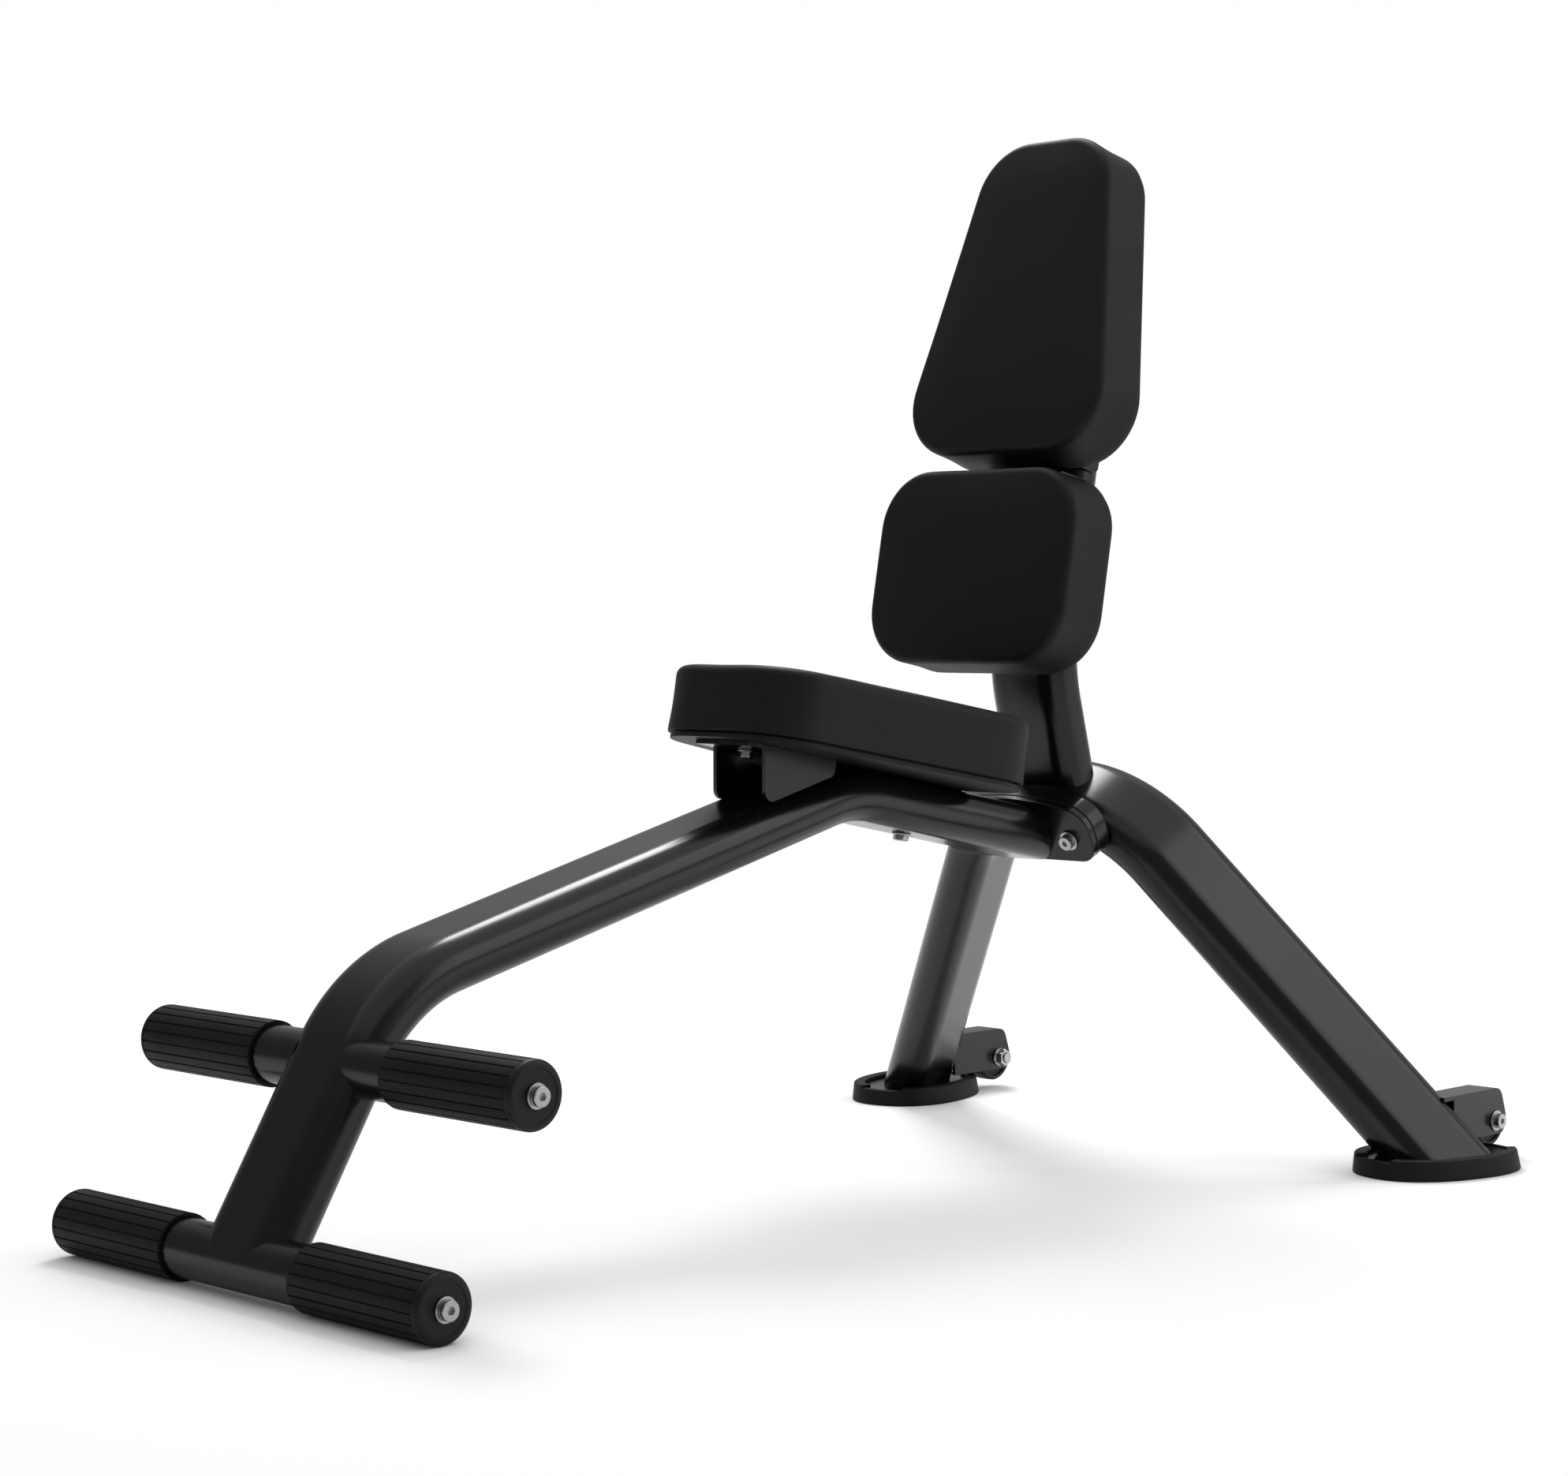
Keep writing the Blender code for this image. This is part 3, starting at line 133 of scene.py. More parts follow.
class Finish(Graph):
    """A procedural finish being made: its material, node tree and Principled shader."""

    def __init__(self, name, **uniform):
        self.material = bpy.data.materials.new(name)
        self.material.use_nodes = True
        super().__init__(self.material.node_tree)
        self.shader = self.tree.nodes["Principled BSDF"]
        self.place = self.node("ShaderNodeTexCoord", {}, "Object")
        self.set(**uniform)

    def set(self, **values):
        """Sets or links the shader's sockets."""
        for socket, value in values.items():
            self.feed(value, self.shader.inputs[socket.replace("_", " ")])

    def noise(self, per_metre, detail, roughness=0.5):
        sockets = {"Vector": self.place, "Scale": per_metre, "Detail": detail, "Roughness": roughness}
        return self.node("ShaderNodeTexNoise", sockets, noise_dimensions="3D")

    def blend(self, first, second, amount):
        """Mixes two colours."""
        return self.node("ShaderNodeMix", {0: amount, 6: first, 7: second}, 2, data_type="RGBA")

    def relief(self, height, depth, strength, over=None):
        """Bumps the surface by a height from 0 to 1 times the depth in metres."""
        sockets = {"Height": height, "Distance": depth, "Strength": strength}
        if over:
            sockets["Normal"] = over
        return self.node("ShaderNodeBump", sockets)


STAGE_REACH = 14.0
PAPER = grey(0.92)
PAPER_FIBRE = grey(0.94)
BLACK = grey(0.0)
WHITE = grey(1.0)
PAPER_GLOW = 0.31
PAINTED_SHADOW_REACH = 0.06
GLOW_MIRRORED_FROM = 0.3
GLOW_NEAR = 1.1
GLOW_FAR = 2.4

paper = Finish("floor_paper", Roughness=0.9, Specular_IOR_Level=0.0, Emission_Strength=PAPER_GLOW)
seen = paper.node("ShaderNodeLightPath", {}, "Is Camera Ray")
mirrored = paper.node("ShaderNodeLightPath", {}, "Is Glossy Ray")
behind = paper.node("ShaderNodeSeparateXYZ", {0: paper.place}, "Y")
from_bench = paper.node("ShaderNodeVectorMath", {0: paper.place}, "Value", operation="LENGTH")
# Ambient occlusion dims the floor's glow near the bench and its feet: a painted contact shadow.
clear_of_painted_shadow = paper.node("ShaderNodeAmbientOcclusion", {"Distance": PAINTED_SHADOW_REACH}, "AO")
shown_to = seen + mirrored * paper.spread(behind, GLOW_MIRRORED_FROM, GLOW_NEAR)
paper.set(
    Base_Color=paper.blend(PAPER, PAPER_FIBRE, paper.noise(180.0, 3.0)),
    Emission_Color=paper.blend(BLACK, WHITE, shown_to * clear_of_painted_shadow))
glow = paper.node("ShaderNodeEmission", {"Color": WHITE, "Strength": 1.0})
lit_paper = Wire(paper, paper.shader.outputs[0])
glow_share = shown_to * paper.spread(from_bench, GLOW_NEAR, GLOW_FAR)
shown_paper = paper.node("ShaderNodeMixShader", {0: glow_share, 1: lit_paper, 2: glow})
paper.feed(shown_paper, paper.tree.nodes["Material Output"].inputs["Surface"])

floor_mesh = bpy.data.meshes.new("floor")
floor_corners = [(x * STAGE_REACH, y * STAGE_REACH, 0.0) for x, y in ((-1, -1), (1, -1), (1, 1), (-1, 1))]
floor_mesh.from_pydata(floor_corners, [], [(0, 1, 2, 3)])
floor_mesh.materials.append(paper.material)
put("floor", floor_mesh)

SURROUND_FRONT = 0.18
SURROUND_BACK = 0.42
SURROUND_TURNS_FROM = -0.2
SURROUND_TURNS_TO = 0.5

surround = bpy.data.worlds.new("studio")
surround.use_nodes = True
scene.world = surround
sky = Graph(surround.node_tree)
compass = sky.node("ShaderNodeTexCoord", {}, "Generated")
heading = sky.node("ShaderNodeSeparateXYZ", {"Vector": compass}, "Y")
wall = sky.spread(heading, SURROUND_TURNS_FROM, SURROUND_TURNS_TO, SURROUND_FRONT, SURROUND_BACK)
seen = sky.node("ShaderNodeLightPath", {}, "Is Camera Ray")
backdrop = sky.tree.nodes["Background"]
sky.feed(WHITE, backdrop.inputs["Color"])
sky.feed(sky.spread(seen, 0.0, 1.0, wall), backdrop.inputs["Strength"])


def softbox(name, place, aim, width, height, radiance):
    """A rectangular lamp of even radiance that faces the point it aims at."""
    lamp = bpy.data.lights.new(name, "AREA")
    lamp.shape = "RECTANGLE"
    lamp.size = width
    lamp.size_y = height
    lamp.energy = radiance * math.pi * width * height
    stand = put(name, lamp)
    stand.location = place
    stand.rotation_euler = (Vector(aim) - Vector(place)).to_track_quat("-Z", "Y").to_euler()


softbox("ceiling_softbox", (0.0, 0.0, 3.2), (0.0, 0.0, 0.3), 6.4, 6.4, 0.40)
softbox("right_softbox", (2.9, 2.3, 2.1), (0.0, 0.1, 0.5), 3.2, 2.4, 1.1)
softbox("key_softbox", (-1.20, 1.10, 2.8), (0.0, 0.0, 0.4), 1.0, 1.15, 11.0)

CAMERA_PLACE = (1.9953, -2.0451, 0.5223)
CAMERA_HEADING = math.radians(44.72)
CAMERA_PITCH = math.radians(2.10)
CAMERA_LENS = 72.17
CAMERA_SENSOR = 36.0

eye = bpy.data.cameras.new("camera")
eye.lens = CAMERA_LENS
eye.sensor_width = CAMERA_SENSOR
tripod = put("camera", eye)
tripod.location = CAMERA_PLACE
tripod.rotation_euler = (math.pi / 2 - CAMERA_PITCH, 0.0, CAMERA_HEADING)
scene.camera = tripod


# Rear arch: one steel tube of flat-oval section, bent over the hub into two legs. It leans back, and each leg
# is cut level at its foot. Welded frame, coated in satin black powder.

ARCH_LEAN = math.radians(25.64)
TUBE_WIDTH = 0.095
TUBE_DEPTH = 0.048
HUB = Vector((0.0, 0.35407, 0.352))
ARCH_TOP_FLAT = 0.0064
ARCH_BEND_RADIUS = 0.1393
LEG_SPREAD = math.radians(34.58)
LEG_END_HEIGHT = 0.0121
BEND_STEPS = 28
ROUND_STEPS = 18
SUPPORT = 0.0012
SMOOTH_UNDER = math.radians(32.0)

coat = Finish("powder_coat_black", Specular_IOR_Level=0.5)
coat_grit = coat.noise(2600.0, 1.0)
coat_cloud = coat.noise(14.0, 3.0, 0.6)
coat_skin = coat.relief(coat.noise(520.0, 1.5, 0.45), 0.00003, 0.3)
coat.set(
    Base_Color=coat.blend((0.0034, 0.0034, 0.0036, 1.0), (0.0050, 0.0049, 0.0048, 1.0), coat_cloud),
    Roughness=coat.spread(coat_cloud, 0.3, 0.7, 0.19, 0.23) + coat_grit * 0.03,
    Normal=coat.relief(coat_grit, 0.000004, 0.3, coat_skin))


def smooth_mesh(name, shape, finish):
    """A shown object from mesh data: doubles merged, faces turned out, smooth but for its sharp edges."""
    bmesh.ops.remove_doubles(shape, verts=shape.verts, dist=0.000005)
    bmesh.ops.recalc_face_normals(shape, faces=shape.faces)
    data = bpy.data.meshes.new(name)
    shape.to_mesh(data)
    shape.free()
    data.polygons.foreach_set("use_smooth", [True] * len(data.polygons))
    data.set_sharp_from_angle(angle=SMOOTH_UNDER)
    data.materials.append(finish.material)
    return put(name, data)


def stand_for(piece, nodes, body="frame"):
    """The piece moves with its body and is shown instead of the CAD nodes."""
    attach(piece, body)
    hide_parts(*nodes)


def shown(name, shape, finish, node, place=Matrix(), body="frame"):
    """A finished piece made from a shape, set in its place and shown instead of a CAD node."""
    shape.transform(place)
    stand_for(smooth_mesh(name, shape, finish), [node], body)


def corner_arc(corner, before, after, radius, steps):
    """A rounded corner, in even steps: its centre, the way out from it and the way along it."""
    turn = before.angle(after)
    inward = (after - before * before.dot(after)).normalized()
    centre = corner - before * radius * math.tan(turn / 2) + inward * radius
    for step in range(steps + 1):
        angle = turn * step / steps
        out = before * math.sin(angle) - inward * math.cos(angle)
        yield centre, out, before * math.cos(angle) + inward * math.sin(angle)


def bent_path(corners, radii):
    """Points and headings along a polyline whose inner corners are arcs of the given radii."""
    stations = [(corners[0], (corners[1] - corners[0]).normalized())]
    for index, radius in enumerate(radii, start=1):
        before = (corners[index] - corners[index - 1]).normalized()
        after = (corners[index + 1] - corners[index]).normalized()
        for centre, out, heading in corner_arc(corners[index], before, after, radius, BEND_STEPS):
            stations.append((centre + out * radius, heading))
    stations.append((corners[-1], (corners[-1] - corners[-2]).normalized()))
    return stations


def oval_outline():
    """The tube's section as (across, deep) pairs, with a support point just inside each end of its flats."""
    flat = (TUBE_WIDTH - TUBE_DEPTH) / 2
    deep = TUBE_DEPTH / 2
    outline = []
    for side in (1.0, -1.0):
        for step in range(ROUND_STEPS + 1):
            angle = math.pi * (step / ROUND_STEPS - 0.5)
            outline.append((side * (flat + deep * math.cos(angle)), side * deep * math.sin(angle)))
        outline += [(side * (flat - SUPPORT), side * deep), (-side * (flat - SUPPORT), side * deep)]
    return outline


def bridge(shape, first, second):
    """A band of faces between two rings of the same count; either may be a single point."""
    count = max(len(first), len(second))
    for index in range(count):
        follow = (index + 1) % count
        corners = [first[index % len(first)], first[follow % len(first)],
                   second[follow % len(second)], second[index % len(second)]]
        shape.faces.new(list(dict.fromkeys(corners)))


def stacked(layers):
    """Rings of points joined in order, closed over at both ends."""
    shape = bmesh.new()
    rings = [[shape.verts.new(point) for point in layer] for layer in layers]
    for first, second in zip(rings, rings[1:]):
        bridge(shape, first, second)
    shape.faces.new(rings[0])
    shape.faces.new(rings[-1])
    return shape


def oval_bar(stations, across, start=None, end=None):
    """A closed flat-oval tube along stations; its ends may be cut to a plane given as (point, normal)."""
    layers = []
    for index, (point, heading) in enumerate(stations):
        deep = across.cross(heading)
        plane = start if index == 0 else end if index == len(stations) - 1 else None
        layer = [point + across * wide + deep * high for wide, high in oval_outline()]
        if plane:
            cut, normal = plane
            layer = [place + heading * ((cut - place).dot(normal) / heading.dot(normal)) for place in layer]
        layers.append(layer)
    return stacked(layers)


arch_up = Vector((0.0, -math.sin(ARCH_LEAN), math.cos(ARCH_LEAN)))
arch_normal = Vector((0.0, math.cos(ARCH_LEAN), math.sin(ARCH_LEAN)))


def leg_line(side):
    """The point where a leg's centre line ends, and the corner where that line leaves the top."""
    turn = math.pi / 2 - LEG_SPREAD
    corner = HUB + X_AXIS * side * (ARCH_TOP_FLAT / 2 + ARCH_BEND_RADIUS * math.tan(turn / 2))
    heading = X_AXIS * side * math.sin(LEG_SPREAD) - arch_up * math.cos(LEG_SPREAD)
    return corner + heading * ((LEG_END_HEIGHT - corner.z) / heading.z), corner


left_end, left_corner = leg_line(-1.0)
right_end, right_corner = leg_line(1.0)
LEGS = (("left", -1.0, left_end), ("right", 1.0, right_end))
leg_cut = (Vector((0.0, 0.0, LEG_END_HEIGHT)), Z_AXIS)
arch_run = bent_path([left_end, left_corner, right_corner, right_end], [ARCH_BEND_RADIUS] * 2)
shown("arch_tube", oval_bar(arch_run, arch_normal, leg_cut, leg_cut), coat, "rear_arch")


# Foot cups: soft ovals moulded in black rubber, pushed onto the steel plate that closes each leg. Two lips
# fold inward over the plate and stop short of each other at the cup's middle.

FOOT_LENGTH = 0.17398
FOOT_WIDTH = 0.120
FOOT_SQUARENESS = 2.3
FOOT_HEADING = math.radians(14.5)
FOOT_HEIGHT = 0.0192
FOOT_TAPER = 0.0015
FOOT_REAR_TAPER = 0.0039
FOOT_WALL = 0.0055
FOOT_BASE = 0.0060
FOOT_LIP = 0.0040
LIP_GAP_WIDTH = 0.050
LIP_STEP = 0.0005
LIP_GAP_FALL = 0.0027
FOOT_PLATE_TOP = 0.0150
PLATE_EDGE = 0.0005
FOOT_STEPS = 160
NO_STEP_WITHIN = 0.012


def grained(name, cloud, dark, light, grain, least, most, depth, strength=0.5, **uniform):
    """A finish: its tone drifts with a cloud noise, its roughness and relief follow a finer grain noise."""
    finish = Finish(name, **uniform)
    fine = finish.noise(*grain)
    finish.set(
        Base_Color=finish.blend(dark, light, finish.noise(*cloud)),
        Roughness=finish.spread(fine, 0.3, 0.7, least, most),
        Normal=finish.relief(fine, depth, strength))
    return finish


rubber = grained(
    "moulded_rubber", (30.0, 3.0, 0.55), grey(0.0050), (0.0085, 0.0083, 0.0081, 1.0),
    (700.0, 2.0, 0.6), 0.50, 0.62, 0.00005, Specular_IOR_Level=0.26)


def foot_angles():
    """Even steps round the foot, with a pair at each end of the lips in place of those next to them."""
    ends = []
    for beside in (LIP_GAP_WIDTH / 2, LIP_GAP_WIDTH / 2 + LIP_STEP):
        turn = math.acos((beside / (FOOT_WIDTH / 2)) ** (FOOT_SQUARENESS / 2))
        ends += [turn, math.pi - turn, math.pi + turn, 2 * math.pi - turn]
    even = [2 * math.pi * step / FOOT_STEPS for step in range(FOOT_STEPS)]
    return sorted(ends + [angle for angle in even if min(abs(angle - end) for end in ends) > NO_STEP_WITHIN])


def foot_ring(slope, inset, height, lip=0.0, fall=0.0):
    """The foot's soft oval at a height: drawn in by its share of the slope, by the inset and by the lips.

    Between the lips it is lower by the fall."""
    ring = []
    power = 2 / FOOT_SQUARENESS
    for angle in foot_angles():
        x = math.copysign(abs(math.cos(angle)) ** power, math.cos(angle))
        y = math.copysign(abs(math.sin(angle)) ** power, math.sin(angle))
        on_lip = min(max((abs(x) * FOOT_WIDTH / 2 - LIP_GAP_WIDTH / 2) / LIP_STEP, 0.0), 1.0)
        taper = FOOT_TAPER + (FOOT_REAR_TAPER - FOOT_TAPER) * max(y, 0.0)
        drawn_in = slope * taper + inset + lip * on_lip
        level = height - fall * (1 - on_lip)
        ring.append((x * (FOOT_WIDTH / 2 - drawn_in), y * (FOOT_LENGTH / 2 - drawn_in), level))
    return ring


foot_inner = FOOT_REAR_TAPER + FOOT_WALL
rim_levels = [
    (0.94, 0.0, 0.0016, 0.0), (1.0, 0.0003, 0.0005, 0.0), (1.0, 0.0010, 0.0, 0.0),
    (0.0, foot_inner - 0.0010, 0.0, FOOT_LIP), (0.0, foot_inner - 0.0001, 0.0008, FOOT_LIP),
    (0.0, foot_inner, 0.0034, FOOT_LIP), (0.0, foot_inner, 0.0040, 0.0)]
cup_levels = [(0.0, 0.0024, 0.0), (0.0, 0.0006, 0.0004), (0.0, 0.0, 0.0016), (0.1, 0.0, 0.0034)]
cup_levels += [
    (slope, inset, FOOT_HEIGHT - below, lip, LIP_GAP_FALL) for slope, inset, below, lip in rim_levels]
cup_levels += [(0.0, foot_inner, FOOT_BASE)]
plate_inset = foot_inner + GAP
plate_base = FOOT_BASE + GAP
plate_levels = [
    (0.0, plate_inset + PLATE_EDGE, plate_base), (0.0, plate_inset, plate_base + PLATE_EDGE),
    (0.0, plate_inset, FOOT_PLATE_TOP - PLATE_EDGE), (0.0, plate_inset + PLATE_EDGE, FOOT_PLATE_TOP)]
for hand, side, foot in LEGS:
    place = Matrix.Translation((foot.x, foot.y, 0.0)) @ Matrix.Rotation(-side * FOOT_HEADING, 4, "Z")
    cup = stacked([foot_ring(*level) for level in cup_levels])
    shown("foot_cup_" + hand, cup, rubber, "rubber_foot_" + hand, place)
    plate = stacked([foot_ring(*level) for level in plate_levels])
    shown("leg_plate_" + hand, plate, coat, "foot_plate_" + hand, place)


def dress(finish, *nodes):
    """Gives kept CAD nodes a finish."""
    for node in nodes:
        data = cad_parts[node].data
        data.materials.clear()
        data.materials.append(finish.material)


# Transport wheels: small moulded wheels on steel bushes, each in a folded steel channel welded behind a leg.
# A low cap-head bolt runs through the channel from outside to a hexagon nut.

WHEEL_RADIUS = 0.0264
WHEEL_WIDTH = 0.0215
WHEEL_HUB_RADIUS = 0.0095
WHEEL_RIM_WIDTH = 0.0050
WHEEL_RECESS = 0.0030
WHEEL_SHOULDER = 0.0022
WHEEL_BORE = 0.0076
WHEEL_SOFT = 0.0006
AXLE_BEHIND_FOOT = TUBE_WIDTH / 2 / math.cos(ARCH_LEAN) + 0.0498
AXLE_HEIGHT = 0.0357
WHEEL_INBOARD = 0.0160
SPIN_STEPS = 72
BRACKET_HALF = 0.016
M10_RADIUS = 0.005
M10_HEX = 0.0165
M10_NUT = 0.0085
M10_WASHER_RADIUS = 0.0100
M10_WASHER_THICKNESS = 0.0020
JOINT_HEAD_RADIUS = 0.0073
JOINT_HEAD_HEIGHT = 0.0060
JOINT_KEY = 0.005
HEAD_BEVEL = 0.11
HEAD_BREAK = 0.0003
KEY_CHAMFER = 0.0007
KEY_DEPTH = 0.62
KEY_POINT = 0.75
WASHER_BREAK = 0.22
PLATE_EDGE_OVER = math.radians(38.0)
BRACKET_TOP = Vector((0.0, 0.0090, 0.0316))
BRACKET_KNEE = Vector((0.0, 0.0190, 0.0029))
BRACKET_CORNER = 0.0115
BRACKET_FOLD = 0.0028
BRACKET_EDGE = 0.0007
CORNER_PLANES = 6
UPRIGHT_UNDER = 0.01
FOLD_OVER = 0.02
AXLE_BOLT_LENGTH = 2 * (BRACKET_HALF + GAP) + M10_WASHER_THICKNESS + M10_NUT + 0.002

zinc = grained(
    "zinc_plated_steel", (160.0, 3.0, 0.6), (0.44, 0.44, 0.45, 1.0), (0.60, 0.60, 0.59, 1.0),
    (900.0, 2.0, 0.6), 0.24, 0.36, 0.00001, 0.4, Metallic=1.0)
tread = grained(
    "wheel_polymer", (60.0, 3.0, 0.6), grey(0.008), (0.015, 0.0145, 0.014, 1.0),
    (500.0, 2.0, 0.55), 0.42, 0.55, 0.00004, Specular_IOR_Level=0.4)


def spun(profile, ring=False):
    """Turns (height, radius) pairs about Z. A radius may also be a function of the angle."""
    shape = bmesh.new()
    rings = []
    for height, radius in profile:
        turned = []
        for step in range(SPIN_STEPS if radius else 1):
            angle = 2 * math.pi * step / SPIN_STEPS
            reach = radius(angle) if callable(radius) else radius
            turned.append(shape.verts.new((reach * math.cos(angle), reach * math.sin(angle), height)))
        rings.append(turned)
    follows = rings[1:] + rings[:1] if ring else rings[1:]
    for first, second in zip(rings, follows):
        bridge(shape, first, second)
    return shape


def hexagonal(across_flats, ease=0.0):
    """The radius of a hexagon as a function of the angle, its corners held within the eased reach."""
    def radius(angle):
        part = (angle + math.pi / 6) % (math.pi / 3) - math.pi / 6
        reach = across_flats / 2 / math.cos(part)
        return min(reach, across_flats / 2 / math.cos(math.pi / 6) - ease)
    return radius


def eased(points, radii, steps=4):
    """A polyline with its inner corners rounded; the radii are those of the inner corners in order."""
    line = [Vector(points[0])]
    for index, radius in enumerate(radii, start=1):
        corner = Vector(points[index])
        before = (corner - Vector(points[index - 1])).normalized()
        after = (Vector(points[index + 1]) - corner).normalized()
        if radius == 0.0 or before.angle(after) < 0.01:
            line.append(corner)
            continue
        for centre, out, _ in corner_arc(corner, before, after, radius, steps):
            line.append(centre + out * radius)
    line.append(Vector(points[-1]))
    return [tuple(point) for point in line]


def washer_rim(radius, thickness, edge):
    """The outer side of a washer that lies on 0, as (height, radius) pairs."""
    return [(0.0, radius - edge), (edge, radius), (thickness - edge, radius), (thickness, radius - edge)]


def cap_screw(radius, height, key, length, under=0.0):
    """A low M10 cap-head screw about Z, seated at 0, over a washer where its thickness is given."""
    top = under + height
    bevel = radius * HEAD_BEVEL
    profile = [(-length, 0.0), (-length, M10_RADIUS), (0.0, M10_RADIUS)]
    if under:
        profile += washer_rim(M10_WASHER_RADIUS, under, under * WASHER_BREAK)
    profile += [(under, radius - HEAD_BREAK), (under + HEAD_BREAK, radius)]
    for step in range(5):
        angle = math.pi / 8 * step
        profile.append((top - bevel * (1 - math.sin(angle)), radius - bevel * (1 - math.cos(angle))))
    profile += [
        (top, hexagonal(key + KEY_CHAMFER)), (top - HEAD_BREAK, hexagonal(key)),
        (top - height * KEY_DEPTH, hexagonal(key)), (top - height * KEY_POINT, 0.0)]
    return spun(profile)


def joint_screw(length):
    """The frame joints' screw, with its washer."""
    return cap_screw(JOINT_HEAD_RADIUS, JOINT_HEAD_HEIGHT, JOINT_KEY, length, M10_WASHER_THICKNESS)


def hexagon_fastener(across_flats, height, radius, washer_radius, washer_thickness, length=0.0):
    """A hexagon head over a washer, standing up from 0 on its shank; with no shank it is a nut."""
    under = washer_thickness
    top = under + height
    flat = across_flats / 2
    blunt = hexagonal(across_flats, flat / math.cos(math.pi / 6) * 0.09)
    profile = washer_rim(washer_radius, under, under * WASHER_BREAK) + [
        (under, flat * 0.98), (under, blunt), (under + 0.0006, hexagonal(across_flats)),
        (top - 0.0008, hexagonal(across_flats)), (top - 0.0002, blunt), (top, flat * 0.93)]
    if length:
        return spun([(-length, 0.0), (-length, radius), (0.0, radius)] + profile + [(top, 0.0)])
    return spun(profile + [(top, radius + 0.0005), (top - 0.0005, radius), (0.0, radius)], ring=True)


def along(place, direction):
    """Stands Z along a direction at a place."""
    return Matrix.Translation(place) @ Vector(direction).to_track_quat("Z", "Y").to_matrix().to_4x4()


def settle(piece):
    """Applies the piece's modifiers."""
    graph = bpy.context.evaluated_depsgraph_get()
    data = bpy.data.meshes.new_from_object(piece.evaluated_get(graph))
    piece.modifiers.clear()
    piece.data = data


def break_edges(piece, width, segments):
    """Rounds the cut edges of a plate over."""
    edge = piece.modifiers.new("broken_edges", "BEVEL")
    edge.width = width
    edge.segments = segments
    edge.limit_method = "ANGLE"
    edge.angle_limit = PLATE_EDGE_OVER
    edge.harden_normals = True
    settle(piece)


def is_fold(edge):
    """Whether an edge is an outer fold between a channel's level top and one of its upright cheeks."""
    beside = sorted(abs(face.normal.z) for face in edge.link_faces)
    run = edge.verts[0].co - edge.verts[1].co
    square = len(beside) == 2 and beside[0] < UPRIGHT_UNDER and beside[1] > 1.0 - UPRIGHT_UNDER
    across = run.length < FOLD_OVER or abs(run.x) > 0.001
    return square and not across and edge.calc_face_angle_signed() > 0.0


def eased_copy(node, name, width, shaved=(), fold=0.0):
    """A coated copy of a CAD node with its cut edges rounded over, as on laser-cut and folded plate.

    Its folds may get a radius, and corners may be shaved off by planes given as (point, normal)."""
    shape = bmesh.new()
    shape.from_mesh(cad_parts[node].data)
    bmesh.ops.remove_doubles(shape, verts=shape.verts, dist=0.00002)
    bmesh.ops.dissolve_limit(shape, angle_limit=math.radians(1.0), verts=shape.verts, edges=shape.edges)
    if fold:
        bends = [edge for edge in shape.edges if is_fold(edge)]
        bmesh.ops.bevel(
            shape, geom=bends, offset=fold, segments=5, profile=0.5, affect="EDGES", clamp_overlap=True)
    for point, normal in shaved:
        everything = shape.verts[:] + shape.edges[:] + shape.faces[:]
        left = bmesh.ops.bisect_plane(
            shape, geom=everything, dist=0.000001, plane_co=point, plane_no=normal, clear_outer=True)
        rim = [part for part in left["geom_cut"] if isinstance(part, bmesh.types.BMEdge)]
        bmesh.ops.edgenet_fill(shape, edges=rim)
    piece = smooth_mesh(name, shape, coat)
    break_edges(piece, width, 3)
    stand_for(piece, [node])


def round_corner(corner, first, second, radius):
    """Planes that shave a corner down to a round; its two edges leave it in the given directions."""
    inward = (first + second).normalized()
    centre = corner + inward * radius / math.sin(first.angle(second) / 2)
    outward = [(edge * inward.dot(edge) - inward).normalized() for edge in (first, second)]
    for step in range(1, CORNER_PLANES):
        normal = outward[0].lerp(outward[1], step / CORNER_PLANES).normalized()
        yield centre + normal * radius, normal


wheel_half = WHEEL_WIDTH / 2
wheel_web = wheel_half - WHEEL_RECESS
wheel_rim = WHEEL_RADIUS - WHEEL_RIM_WIDTH
wheel_side = eased(
    [(0.0, WHEEL_RADIUS), (wheel_half - WHEEL_SHOULDER, WHEEL_RADIUS),
     (wheel_half, WHEEL_RADIUS - WHEEL_SHOULDER), (wheel_half, wheel_rim),
     (wheel_web, wheel_rim - WHEEL_SOFT), (wheel_web, WHEEL_HUB_RADIUS + WHEEL_SOFT),
     (wheel_half, WHEEL_HUB_RADIUS), (wheel_half, WHEEL_BORE)],
    [2 * WHEEL_SOFT] * 2 + [WHEEL_SOFT] * 4)
wheel_profile = [(-height, radius) for height, radius in reversed(wheel_side)][:-1] + wheel_side
down_rear = (BRACKET_KNEE - BRACKET_TOP).normalized()
for hand, side, foot in LEGS:
    axle = Vector((foot.x - side * WHEEL_INBOARD, foot.y + AXLE_BEHIND_FOOT, AXLE_HEIGHT))
    outward = X_AXIS * side
    bracket_face = outward * (BRACKET_HALF + GAP)
    wheel = "wheel_" + hand
    shown("transport_" + wheel, spun(wheel_profile, ring=True), tread, wheel,
          along(axle, outward), wheel)
    shaved = round_corner(axle + BRACKET_TOP, -Y_AXIS, down_rear, BRACKET_CORNER)
    eased_copy("wheel_bracket_" + hand, "wheel_channel_" + hand, BRACKET_EDGE, shaved, BRACKET_FOLD)
    shown("wheel_bolt_" + hand, joint_screw(AXLE_BOLT_LENGTH), zinc, "axle_bolt_" + hand,
          along(axle + bracket_face, outward))
    nut = hexagon_fastener(M10_HEX, M10_NUT, M10_RADIUS + GAP, M10_WASHER_RADIUS, M10_WASHER_THICKNESS)
    shown("wheel_nut_" + hand, nut, zinc, "axle_nut_" + hand, along(axle - bracket_face, -outward))
dress(zinc, "wheel_bush_left", "wheel_bush_right")


